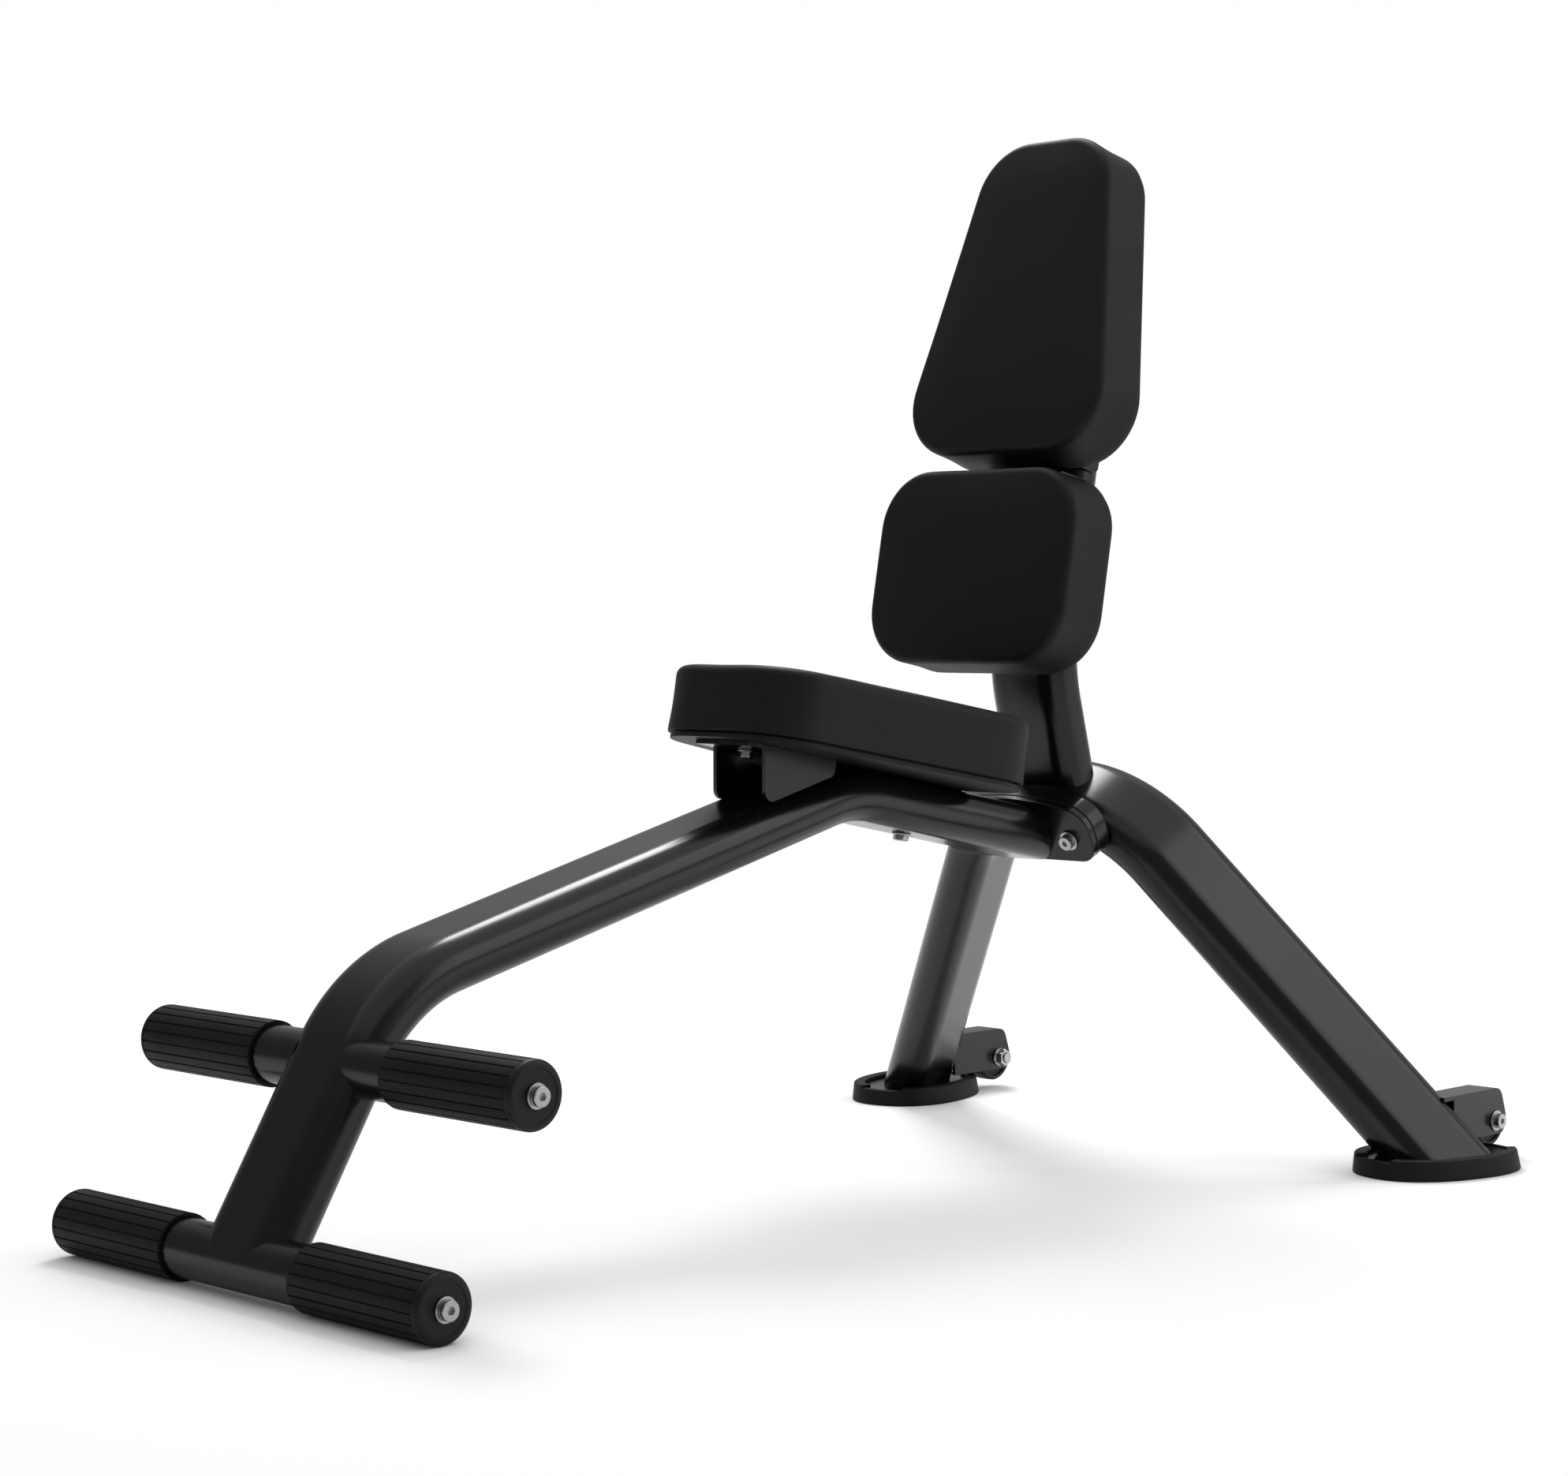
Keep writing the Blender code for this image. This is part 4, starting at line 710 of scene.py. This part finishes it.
# Hub: a thick steel saddle welded over the arch's crown, and the flange on the end of the front tube that two
# low cap-head bolts hold against it. Cut from plate, edges broken, powder coated with the frame.

SADDLE_FRONT = TUBE_WIDTH / 2 + 0.0182
FLANGE_FRONT = SADDLE_FRONT + GAP + 0.008
FLANGE_BELOW = 0.031
FLANGE_HALF = 0.096
FLANGE_SHOULDER = 0.0215
FLANGE_RISE = 0.0320
FLANGE_CROWN = 0.0355
FLANGE_BOTTOM_RADIUS = 0.020
FLANGE_TOP_RADIUS = 0.027
FLANGE_SOFT_RADIUS = 0.192
HUB_BOLT_SPREAD = 0.137
HUB_BOLT_DROP = 0.0072
HUB_BOLT_LENGTH = 0.0248
SADDLE_EDGE = 0.0008
FLANGE_EDGE = 0.0016

flange_corners = [(0.0, -FLANGE_BELOW), (FLANGE_HALF, -FLANGE_BELOW), (FLANGE_HALF, FLANGE_SHOULDER),
                  (FLANGE_HALF / 2, FLANGE_RISE), (0.0, FLANGE_CROWN)]
flange_corners += [(-x, z) for x, z in reversed(flange_corners[:-1])]
flange_radii = [FLANGE_BOTTOM_RADIUS, FLANGE_TOP_RADIUS, FLANGE_SOFT_RADIUS]
flange_radii += [FLANGE_SOFT_RADIUS] + flange_radii[::-1]
flange_outline = eased(flange_corners, flange_radii, 14)[:-1]


def hub_plate(name, node, back, front, edge):
    """A thick plate of the flange's outline, standing across the arch's front, its edges rounded over."""
    layers = [[HUB + X_AXIS * x + arch_up * z - arch_normal * depth for x, z in flange_outline]
              for depth in (back, front)]
    piece = smooth_mesh(name, stacked(layers), coat)
    break_edges(piece, edge, 4)
    stand_for(piece, [node])


hub_plate("saddle_block", "hub_saddle", TUBE_WIDTH / 2 + GAP, SADDLE_FRONT, SADDLE_EDGE)
hub_plate("flange_plate", "front_flange", SADDLE_FRONT + GAP, FLANGE_FRONT, FLANGE_EDGE)
flange_face = HUB - arch_normal * (FLANGE_FRONT + GAP)
for hand, side in (("left", -1.0), ("right", 1.0)):
    seat = flange_face + X_AXIS * side * HUB_BOLT_SPREAD / 2 - arch_up * HUB_BOLT_DROP
    shown("flange_bolt_" + hand, joint_screw(HUB_BOLT_LENGTH), zinc, "hub_bolt_" + hand,
          along(seat, -arch_normal))


# Post: a flat-oval tube welded upright on the arch's crown, bent once so that it leans forward below and back
# above. A moulded cap closes its top.

POST_LEAN = math.radians(15.2)
POST_RECLINE = math.radians(10.8)
POST_ROOT = 0.020
POST_LOWER_RUN = 0.1195
POST_UPPER_RUN = 0.2080
POST_BEND_RADIUS = 0.196

post_lower = Vector((0.0, -math.sin(POST_LEAN), math.cos(POST_LEAN)))
post_upper = Vector((0.0, math.sin(POST_RECLINE), math.cos(POST_RECLINE)))
post_corner = HUB + arch_up * TUBE_DEPTH / 2 + post_lower * POST_LOWER_RUN
post_run = bent_path(
    [post_corner - post_lower * (POST_LOWER_RUN + POST_ROOT), post_corner,
     post_corner + post_upper * POST_UPPER_RUN], [POST_BEND_RADIUS])
shown("post_tube", oval_bar(post_run, X_AXIS), coat, "back_post")

plastic = grained(
    "moulded_plastic", (40.0, 2.0), grey(0.0060), grey(0.0095),
    (1400.0, 2.0), 0.40, 0.50, 0.00002, Specular_IOR_Level=0.3)
dress(plastic, "post_cap")


# Front tube: the long flat-oval tube that carries the seat. It leaves the hub flange, bends down under the
# seat, bends again and stands on the lower roller tube, which it is cut round and welded to.

REAR_RUN = 0.2637
REAR_FALL = math.radians(10.8)
MIDDLE_RUN = 0.5415
MIDDLE_RISE = math.radians(14.52)
LOWER_STEEPNESS = math.radians(59.0)
REAR_BEND_RADIUS = 0.1393
FRONT_BEND_RADIUS = 0.1459
GRIP_RADIUS = 0.0274

rear_heading = Vector((0.0, -math.cos(REAR_FALL), math.sin(REAR_FALL)))
middle_heading = Vector((0.0, -math.cos(MIDDLE_RISE), -math.sin(MIDDLE_RISE)))
lower_heading = Vector((0.0, -math.cos(LOWER_STEEPNESS), -math.sin(LOWER_STEEPNESS)))
tube_end = flange_face - arch_up * (FLANGE_BELOW - TUBE_DEPTH / 2 / math.cos(ARCH_LEAN + REAR_FALL))
rear_corner = tube_end + rear_heading * REAR_RUN
front_corner = rear_corner + middle_heading * MIDDLE_RUN
lower_axis = front_corner + lower_heading * ((front_corner.z - GRIP_RADIUS) / math.sin(LOWER_STEEPNESS))
front_run = bent_path(
    [tube_end, rear_corner, front_corner, lower_axis], [REAR_BEND_RADIUS, FRONT_BEND_RADIUS])
shown("seat_tube", oval_bar(front_run, X_AXIS, (flange_face, arch_normal)), coat, "front_tube")


# Roller tubes: one round tube across the floor under the front tube, and a stub on each side of it higher up.
# Mild steel, coped and welded, powder coated.

CROSS_RADIUS = 0.024
CROSS_SPACING = 0.1697
GRIP_START = 0.084
GRIP_END = 0.2332
STUB_START = 0.0300

upper_axis = lower_axis - lower_heading * CROSS_SPACING


def facing(axis, side):
    """Lays Z across the bench, pointing outward on one side, with its origin on a roller axis."""
    return Matrix.Translation(axis) @ Matrix.Rotation(side * math.pi / 2, 4, "Y")


def roller_tube(name, node, axis, side, low, high):
    """A length of round tube on a roller axis, with closed ends."""
    shape = spun([(low, 0.0), (low, CROSS_RADIUS), (high, CROSS_RADIUS), (high, 0.0)])
    shown(name, shape, coat, node, facing(axis, side))


roller_tube("floor_roller_tube", "lower_cross_tube", lower_axis, 1.0, -GRIP_END, GRIP_END)
roller_tube("roller_stub_left", "upper_cross_tube_left", upper_axis, -1.0, STUB_START, GRIP_END)
roller_tube("roller_stub_right", "upper_cross_tube_right", upper_axis, 1.0, STUB_START, GRIP_END)


# Roller sleeves: dense black rubber pushed over the tube ends, moulded with twenty narrow flutes. One sleeve
# is made by rule from a grid and then set out on the four tube ends.

GRIP_FLUTES = 20
FLUTE_WIDTH = 0.0016
FLUTE_DEPTH = 0.0011
FLUTE_EASE = 1.7
SLEEVE_EDGE = 0.0008
STEPS_PER_FLUTE = 16
HALF_ROWS = 10
EDGE_ROWS = 5
GROOVE_FLOOR = 0.56


class Rule(Graph):
    """A Geometry Nodes tree being made, with its named inputs given as wires."""

    def __init__(self, name, **inputs):
        super().__init__(bpy.data.node_groups.new(name, "GeometryNodeTree"))
        sockets = self.tree.interface
        sockets.new_socket("Geometry", in_out="INPUT", socket_type="NodeSocketGeometry")
        sockets.new_socket("Geometry", in_out="OUTPUT", socket_type="NodeSocketGeometry")
        for label, kind in inputs.items():
            sockets.new_socket(label, in_out="INPUT", socket_type="NodeSocket" + kind)
        entry = self.tree.nodes.new("NodeGroupInput")
        self.given = {label: Wire(self, entry.outputs[label]) for label in ("Geometry", *inputs)}

    def end(self, geometry):
        """Instances made real, the finish set, and the result sent out."""
        real = self.node("GeometryNodeRealizeInstances", {"Geometry": geometry})
        done = self.node("GeometryNodeSetMaterial", {"Geometry": real, "Material": self.given["Finish"]})
        self.feed(done, self.tree.nodes.new("NodeGroupOutput").inputs["Geometry"])

    def grow(self, piece, **values):
        """Runs the tree on a piece with the values of its named inputs, and keeps the plain mesh."""
        added = piece.modifiers.new(self.tree.name, "NODES")
        added.node_group = self.tree
        for entry in self.tree.interface.items_tree:
            if entry.in_out == "INPUT" and entry.name in values:
                added[entry.identifier] = values[entry.name]
        settle(piece)


# The grid's columns go round the sleeve and gather at the grooves. Its rows run from the bore over one end's
# rounded edge, along the sleeve and back into the bore at the other end.
rule = Rule(
    "fluted_sleeve", Radius="Float", Bore="Float", Length="Float", Flutes="Int", Groove="Float",
    Depth="Float", Ease="Float", Edge="Float", Finish="Material")
given = rule.given
columns = given["Flutes"] * float(STEPS_PER_FLUTE) + 1.0
sheet = rule.node(
    "GeometryNodeMeshGrid",
    {"Size X": 1.0, "Size Y": 1.0, "Vertices X": columns, "Vertices Y": HALF_ROWS * 2 + 1})
spot = rule.node("GeometryNodeInputPosition", {})
row = (rule.node("ShaderNodeSeparateXYZ", {0: spot}, "Y") + 0.5) * (HALF_ROWS * 2.0)
in_flutes = (rule.node("ShaderNodeSeparateXYZ", {0: spot}, "X") + 0.5) * given["Flutes"]
flute = rule.maths("ROUND", in_flutes)
aside = in_flutes - flute
gathered = (rule.maths("ABSOLUTE", aside) * 2.0) ** given["Ease"] / 2.0
flute_turn = 2 * math.pi / given["Flutes"]
turn = flute_turn * (flute + gathered * rule.maths("SIGN", aside))
groove_half = given["Groove"] / 2.0 / given["Radius"]
groove = rule.spread(gathered * flute_turn, groove_half * GROOVE_FLOOR, groove_half, given["Depth"], 0.0)
end_row = float(HALF_ROWS) - rule.maths("ABSOLUTE", row - float(HALF_ROWS))
edge_row = rule.maths("MINIMUM", rule.maths("MAXIMUM", end_row - 1.0, 0.0), float(EDGE_ROWS))
edge_turn = edge_row / float(EDGE_ROWS) * (math.pi / 2)
outer = given["Radius"] - groove - given["Edge"] * (1.0 - rule.maths("SINE", edge_turn))
on_end = rule.maths("LESS_THAN", end_row, 0.5)
reach = rule.node(
    "GeometryNodeSwitch", {"Switch": on_end, "False": outer, "True": given["Bore"]}, input_type="FLOAT")
half_length = given["Length"] / 2.0
inner_rows = rule.maths("MAXIMUM", end_row - (EDGE_ROWS + 1.0), 0.0) / (HALF_ROWS - EDGE_ROWS - 1.0)
set_back = given["Edge"] * (1.0 - rule.maths("COSINE", edge_turn))
from_end = set_back + inner_rows * (half_length - given["Edge"])
height = half_length + rule.maths("SIGN", row - float(HALF_ROWS)) * (half_length - from_end)
moved = rule.node(
    "ShaderNodeCombineXYZ",
    {"X": reach * rule.maths("COSINE", turn), "Y": reach * rule.maths("SINE", turn), "Z": height})
rule.end(rule.node("GeometryNodeSetPosition", {"Geometry": sheet, "Position": moved}))

copier = Rule("set_out", Piece="Object", Finish="Material")
copied = copier.node(
    "GeometryNodeObjectInfo", {"Object": copier.given["Piece"]}, "Geometry", transform_space="ORIGINAL")
turned_by = copier.node(
    "GeometryNodeInputNamedAttribute", {"Name": "turn"}, "Attribute", data_type="FLOAT_VECTOR")
rotation = copier.node("FunctionNodeEulerToRotation", {"Euler": turned_by})
copier.end(copier.node(
    "GeometryNodeInstanceOnPoints",
    {"Points": copier.given["Geometry"], "Instance": copied, "Rotation": rotation}))

tube_ends = [(axis, side) for axis in (lower_axis, upper_axis) for side in (-1.0, 1.0)]
ends = [level + "_" + hand for level in ("lower", "upper") for hand in ("left", "right")]


def set_out(name, shape, height, finish, node):
    """A shape copied onto the four tube ends at a height along them, as one finished mesh."""
    pattern = smooth_mesh(name + "_pattern", shape, finish)
    places = [facing(axis, side) @ Matrix.Translation((0.0, 0.0, height)) for axis, side in tube_ends]
    data = bpy.data.meshes.new(name)
    data.from_pydata([place.to_translation() for place in places], [], [])
    turns = data.attributes.new("turn", "FLOAT_VECTOR", "POINT")
    for index, place in enumerate(places):
        turns.data[index].vector = place.to_euler()
    copies = put(name, data)
    copier.grow(copies, Piece=pattern, Finish=finish.material)
    bpy.data.objects.remove(pattern)
    stand_for(copies, [node + "_" + end for end in ends])


sleeve_seed = put("sleeve_seed", bpy.data.meshes.new("sleeve_seed"))
rule.grow(
    sleeve_seed, Radius=GRIP_RADIUS, Bore=CROSS_RADIUS + GAP, Length=GRIP_END - GRIP_START,
    Flutes=GRIP_FLUTES, Groove=FLUTE_WIDTH, Depth=FLUTE_DEPTH, Ease=FLUTE_EASE, Edge=SLEEVE_EDGE,
    Finish=rubber.material)
sleeve_shape = bmesh.new()
sleeve_shape.from_mesh(sleeve_seed.data)
bpy.data.objects.remove(sleeve_seed)
set_out("roller_sleeves", sleeve_shape, GRIP_START, rubber, "grip_sleeve")


# End caps: moulded plastic discs with a round rim and a shallow sunk face, pushed into the tube ends and
# clamped over the sleeves by an M10 low cap-head bolt on a washer.

CAP_LENGTH = 0.0058
CAP_EDGE = 0.0048
CAP_SINK = 0.0006
CAP_SINK_RADIUS = 0.0206
CAP_PLUG_LENGTH = 0.018
CAP_PLUG_RADIUS = 0.0207
CAP_HEAD_RADIUS = 0.0080
CAP_HEAD_HEIGHT = 0.0050
CAP_KEY = 0.006
CAP_BOLT_END = GRIP_END - 0.022 - 0.008

cap_profile = eased(
    [(-CAP_PLUG_LENGTH, M10_RADIUS + GAP), (-CAP_PLUG_LENGTH, CAP_PLUG_RADIUS), (0.0, CAP_PLUG_RADIUS),
     (0.0, GRIP_RADIUS), (CAP_LENGTH, GRIP_RADIUS), (CAP_LENGTH, CAP_SINK_RADIUS),
     (CAP_LENGTH - CAP_SINK, CAP_SINK_RADIUS - 0.0002), (CAP_LENGTH - CAP_SINK, M10_RADIUS + GAP)],
    [0.0005, 0.0, 0.0003, CAP_EDGE, 0.0001, 0.0001], 7)
set_out("roller_end_caps", spun(cap_profile, ring=True), GRIP_END + GAP, plastic, "end_cap")

washer_profile = [(0.0, M10_RADIUS + GAP)]
washer_profile += washer_rim(M10_WASHER_RADIUS, M10_WASHER_THICKNESS, M10_WASHER_THICKNESS * 0.2)
washer_profile += [(M10_WASHER_THICKNESS, M10_RADIUS + GAP)]
washer_seat = GRIP_END + 2 * GAP + CAP_LENGTH - CAP_SINK
set_out("roller_washers", spun(washer_profile, ring=True), washer_seat, zinc, "grip_washer")

bolt_seat = washer_seat + M10_WASHER_THICKNESS + GAP
bolt_shape = cap_screw(CAP_HEAD_RADIUS, CAP_HEAD_HEIGHT, CAP_KEY, bolt_seat - CAP_BOLT_END)
set_out("roller_bolts", bolt_shape, bolt_seat, zinc, "grip_bolt")
dress(zinc, *["grip_nut_plate_" + end for end in ends])


# Seat carrier: a folded steel channel under the front of the seat, welded to the tube, with a tongue that
# takes the front seat bolt. The rear bolt comes up through the tube.

SEAT_LENGTH = 0.3207
SEAT_REACH = 0.4255
SHEET = 0.004
SEAT_CHEEK_REAR = -0.2935
SEAT_CHEEK_LOW = 0.01045
SEAT_CHEEK_CORNER = 0.0080
M8_RADIUS = 0.004
M8_HEX = 0.013
M8_HEAD = 0.0053
M8_WASHER_RADIUS = 0.0092
M8_WASHER_THICKNESS = 0.0018
SEAT_EDGE = 0.0008
SEAT_BOLT_GRIP = 0.009
SEAT_BOLTS = (
    ("front", 0.0517 - SEAT_REACH, TUBE_DEPTH / 2 - SHEET),
    ("rear", SEAT_LENGTH - SEAT_REACH - 0.0545, -TUBE_DEPTH / 2))

seat_line = Matrix.Translation(tube_end) @ Matrix.Rotation(-REAR_FALL, 4, "X")
cheek_corner = seat_line @ Vector((0.0, SEAT_CHEEK_REAR, SEAT_CHEEK_LOW))
up_cheek = seat_line.to_3x3() @ Z_AXIS
shaved = round_corner(cheek_corner, up_cheek, middle_heading, SEAT_CHEEK_CORNER)
eased_copy("seat_bracket", "seat_channel", SEAT_EDGE, shaved)
for end, reach_along, seat_height in SEAT_BOLTS:
    length = TUBE_DEPTH / 2 - seat_height + SEAT_BOLT_GRIP
    bolt = hexagon_fastener(M8_HEX, M8_HEAD, M8_RADIUS, M8_WASHER_RADIUS, M8_WASHER_THICKNESS, length)
    place = seat_line @ along((0.0, reach_along, seat_height - GAP), -Z_AXIS)
    shown("seat_screw_" + end, bolt, zinc, "seat_bolt_" + end, place)


# Seat, lumbar and back pads: a moulded board carries a dense foam block covered in smooth black synthetic
# leather. The cover is drawn tight over the foam and ends in a thin groove above the board's edge.

BOARD_THICKNESS = 0.012
BOARD_SHOWING = 0.0055
BOARD_INSET = 0.003
BOARD_GROOVE = 0.0013
BOARD_EDGE = 0.0006
BOARD_NECK = 0.0050
PAD_EDGE_RADIUS = 0.0085
PAD_CROWN = 0.0022
PAD_WAIST = 0.0005
FACE_SPREAD = 0.62
PAD_CORNER_STEPS = 14
PAD_SIDE_STEPS = 10
FREE_ABOVE = 0.004
LUMBAR_LENGTH = 0.1915
LUMBAR_WIDTH = 0.2470
BACK_LENGTH = 0.3221
BACK_WIDE = 0.2662
BACK_NARROW = 0.1512
BACK_TILT = math.radians(4.3)
PADS = {
    "seat": (SEAT_LENGTH, 0.2756, 0.1606, 0.0584, 0.0627, 0.0610),
    "lumbar": (LUMBAR_LENGTH, LUMBAR_WIDTH, LUMBAR_WIDTH, 0.0565, 0.0565, 0.0582),
    "back": (BACK_LENGTH, BACK_WIDE, BACK_NARROW, 0.0600, 0.0600, 0.0590),
}
PAD_SLACK = 0.0005
FOAM_STEP = 0.005
FOAM_CLOTH = {
    "use_pressure": True, "uniform_pressure_force": 4.0, "vertex_group_mass": "on_board",
    "tension_stiffness": 40.0, "compression_stiffness": 40.0, "bending_stiffness": 8.0}
FOAM_SHARE = 0.25
FOAM_CAP = 0.0050
FOAM_EVENED = 0.022
FOAM_NEIGHBOURS = 120
FOAM_FRAMES = 20

hide = Finish("synthetic_leather", Specular_IOR_Level=0.33)
hide_cells = hide.node(
    "ShaderNodeTexVoronoi", {"Vector": hide.place, "Scale": 780.0}, feature="DISTANCE_TO_EDGE")
hide_fine = hide.noise(2400.0, 2.0, 0.6)
hide_cloud = hide.noise(9.0, 3.0, 0.55)
hide_grain = hide.relief(hide.spread(hide_cells, 0.0, 0.22), 0.00006, 0.32)
hide.set(
    Base_Color=hide.blend(grey(0.0038), (0.0055, 0.0054, 0.0053, 1.0), hide_cloud),
    Roughness=hide.spread(hide_cloud, 0.3, 0.7, 0.52, 0.58) + hide_fine * 0.05,
    Normal=hide.relief(hide_fine, 0.00001, 0.4, hide_grain))

board_skin = grained(
    "board_plastic", (25.0, 2.0), grey(0.0070), (0.0110, 0.0108, 0.0106, 1.0),
    (900.0, 2.0, 0.6), 0.45, 0.58, 0.00004, Specular_IOR_Level=0.3)


def pad_ring(shape, inset, height):
    """A pad's rounded outline at a height, drawn in by the inset, with points along its sides too."""
    length, wide, narrow, wide_radius, narrow_radius, _ = shape
    corners = [Vector((-wide / 2, 0.0)), Vector((wide / 2, 0.0)), Vector((narrow / 2, length)),
               Vector((-narrow / 2, length))]
    radii = [wide_radius, wide_radius, narrow_radius, narrow_radius]
    arcs = []
    for index, corner in enumerate(corners):
        before = (corner - corners[index - 1]).normalized()
        after = (corners[(index + 1) % 4] - corner).normalized()
        turned = corner_arc(corner, before, after, radii[index], PAD_CORNER_STEPS)
        arcs.append([centre + out * (radii[index] - inset) for centre, out, _ in turned])
    ring = []
    for index, arc in enumerate(arcs):
        follow = arcs[(index + 1) % 4][0]
        ring += arc
        ring += [arc[-1].lerp(follow, step / PAD_SIDE_STEPS) for step in range(1, PAD_SIDE_STEPS)]
    return [(point.x, point.y, height) for point in ring]


def cover_mesh(shape, slack):
    """The cushion's cover, laid in rings from its turned-under hem to the middle of its face.

    The slack draws it in where it is free of the board, to leave room for the foam to fill it."""
    base = BOARD_SHOWING + GAP
    face = BOARD_SHOWING + shape[5] - slack
    shoulder = face - PAD_EDGE_RADIUS
    levels = [(0.0040, base + 0.0020), (0.0016, base + 0.0010), (0.0008, base), (0.0003, base + 0.0001),
              (0.0, base + 0.0006), (0.0, base + FREE_ABOVE)]
    for step in range(1, 9):
        part = step / 8
        bow = PAD_WAIST * math.sin(math.pi * part)
        loose = slack * min(part * 3, 1.0)
        levels.append((bow + loose, base + FREE_ABOVE + (shoulder - base - FREE_ABOVE) * part))
    for step in range(1, 7):
        angle = math.pi / 12 * step
        rise = PAD_EDGE_RADIUS * math.sin(angle)
        levels.append((slack + PAD_EDGE_RADIUS * (1 - math.cos(angle)), shoulder + rise))
    spread = shape[3] * FACE_SPREAD
    for part in (0.2, 0.4, 0.6, 0.8, 1.0):
        levels.append((slack + PAD_EDGE_RADIUS + spread * part, face + PAD_CROWN * (1 - (1 - part) ** 2)))
    layers = [pad_ring(shape, inset, height) for inset, height in levels]
    last = [Vector(point) for point in layers[-1]]
    middle = sum(last, Vector()) / len(last)
    for part in (0.2, 0.4, 0.6, 0.8, 0.93):
        layers.append([point.lerp(middle, part) for point in last])
    return stacked(layers)


def swell(cover, pinned_below):
    """Fills the cover like a tight cushion: a voxel copy is blown up as cloth, and the cover follows it."""
    foam = put("foam", cover.data.copy())
    remesh = foam.modifiers.new("foam_skin", "REMESH")
    remesh.mode = "VOXEL"
    remesh.voxel_size = FOAM_STEP
    settle(foam)
    rest = [vertex.co.copy() for vertex in foam.data.vertices]
    pin = foam.vertex_groups.new(name="on_board")
    pin.add([index for index, point in enumerate(rest) if point.z < pinned_below], 1.0, "REPLACE")
    cloth = foam.modifiers.new("pressure", "CLOTH")
    cloth.settings.effector_weights.gravity = 0.0
    for setting, value in FOAM_CLOTH.items():
        setattr(cloth.settings, setting, value)
    cloth.point_cache.frame_start = 1
    cloth.point_cache.frame_end = FOAM_FRAMES
    for step in range(1, FOAM_FRAMES + 1):
        scene.frame_set(step)
    settle(foam)
    scene.frame_set(1)
    near = KDTree(len(rest))
    for index, point in enumerate(rest):
        near.insert(point, index)
    near.balance()
    blown = [vertex.co.copy() for vertex in foam.data.vertices]
    for vertex in cover.data.vertices:
        shift = Vector()
        total = 0.0
        for point, index, distance in near.find_n(vertex.co, FOAM_NEIGHBOURS):
            weight = math.exp(-(distance / FOAM_EVENED) ** 2)
            shift += (blown[index] - point) * weight
            total += weight
        shift *= FOAM_SHARE / total
        shift *= min(max((vertex.co.z - pinned_below) / (4 * FREE_ABOVE), 0.0), 1.0)
        vertex.co += shift * min(1.0, FOAM_CAP / max(shift.length, 0.000001))
    bpy.data.objects.remove(foam)


def upholstered(name, shape, place):
    """One padded cover over its foam."""
    cushion = smooth_mesh(name, cover_mesh(shape, PAD_SLACK), hide)
    swell(cushion, BOARD_SHOWING + FREE_ABOVE)
    fine = cushion.modifiers.new("fine", "SUBSURF")
    fine.levels = 1
    fine.render_levels = 1
    settle(cushion)
    cushion.data.transform(place)
    for polygon in cushion.data.polygons:
        polygon.use_smooth = True
    return cushion


def board(name, shape, place):
    """The pad's board with its edges rounded over."""
    edge = BOARD_EDGE
    brim = BOARD_SHOWING - BOARD_GROOVE
    levels = [
        (edge * 6, 0.0), (edge * 1.2, 0.0), (edge * 0.9, 0.0), (edge * 0.26, edge * 0.26), (0.0, edge * 0.9),
        (0.0, edge * 1.2), (0.0, brim - edge / 2), (edge / 2, brim), (BOARD_NECK, brim),
        (BOARD_NECK, BOARD_THICKNESS - edge), (BOARD_NECK + edge, BOARD_THICKNESS)]
    layers = [pad_ring(shape, BOARD_INSET + inset, height) for inset, height in levels]
    made = smooth_mesh(name, stacked(layers), board_skin)
    made.data.transform(place)
    return made


post_line = Matrix.Translation(post_corner) @ Matrix.Rotation(-POST_RECLINE, 4, "X")
seat_place = seat_line @ Matrix.Translation((0.0, SEAT_LENGTH - SEAT_REACH, TUBE_DEPTH / 2 + GAP))
seat_place = seat_place @ Matrix.Rotation(math.pi, 4, "Z")


def on_post(up, offset, tilt):
    stand_off = Matrix.Translation((0.0, -TUBE_DEPTH / 2 - offset, up))
    return post_line @ stand_off @ Matrix.Rotation(math.pi / 2 - tilt, 4, "X")


POST_SHEET = 0.003
POST_CAP = 0.003
LUMBAR_STAND_OFF = 0.0205 + GAP
BACK_UP_POST = 0.1780
LUMBAR_UP_POST = -0.0259
post_overlap = POST_UPPER_RUN + GAP + POST_CAP - BACK_UP_POST
back_stand_off = (POST_SHEET + 2 * GAP + post_overlap * math.sin(BACK_TILT)) / math.cos(BACK_TILT)
pad_places = {
    "seat": seat_place,
    "lumbar": on_post(LUMBAR_UP_POST, LUMBAR_STAND_OFF, 0.0),
    "back": on_post(BACK_UP_POST, back_stand_off, BACK_TILT),
}
for name, shape in PADS.items():
    cover = upholstered(name + "_cover", shape, pad_places[name])
    stand_for(cover, [name + "_cushion"])
    stand_for(board(name + "_base", shape, pad_places[name]), [name + "_board"])


# Pad brackets: two folded steel channels on the post. The lumbar channel is welded to the post's front and
# bolted right through it; the back channel holds the top of the post between its cheeks.

eased_copy("lumbar_bracket", "lumbar_channel", BRACKET_EDGE)
eased_copy("back_bracket", "back_channel", BRACKET_EDGE)
dress(zinc, "lumbar_bolt_lower", "lumbar_bolt_upper", "back_bolt_lower", "back_bolt_upper")
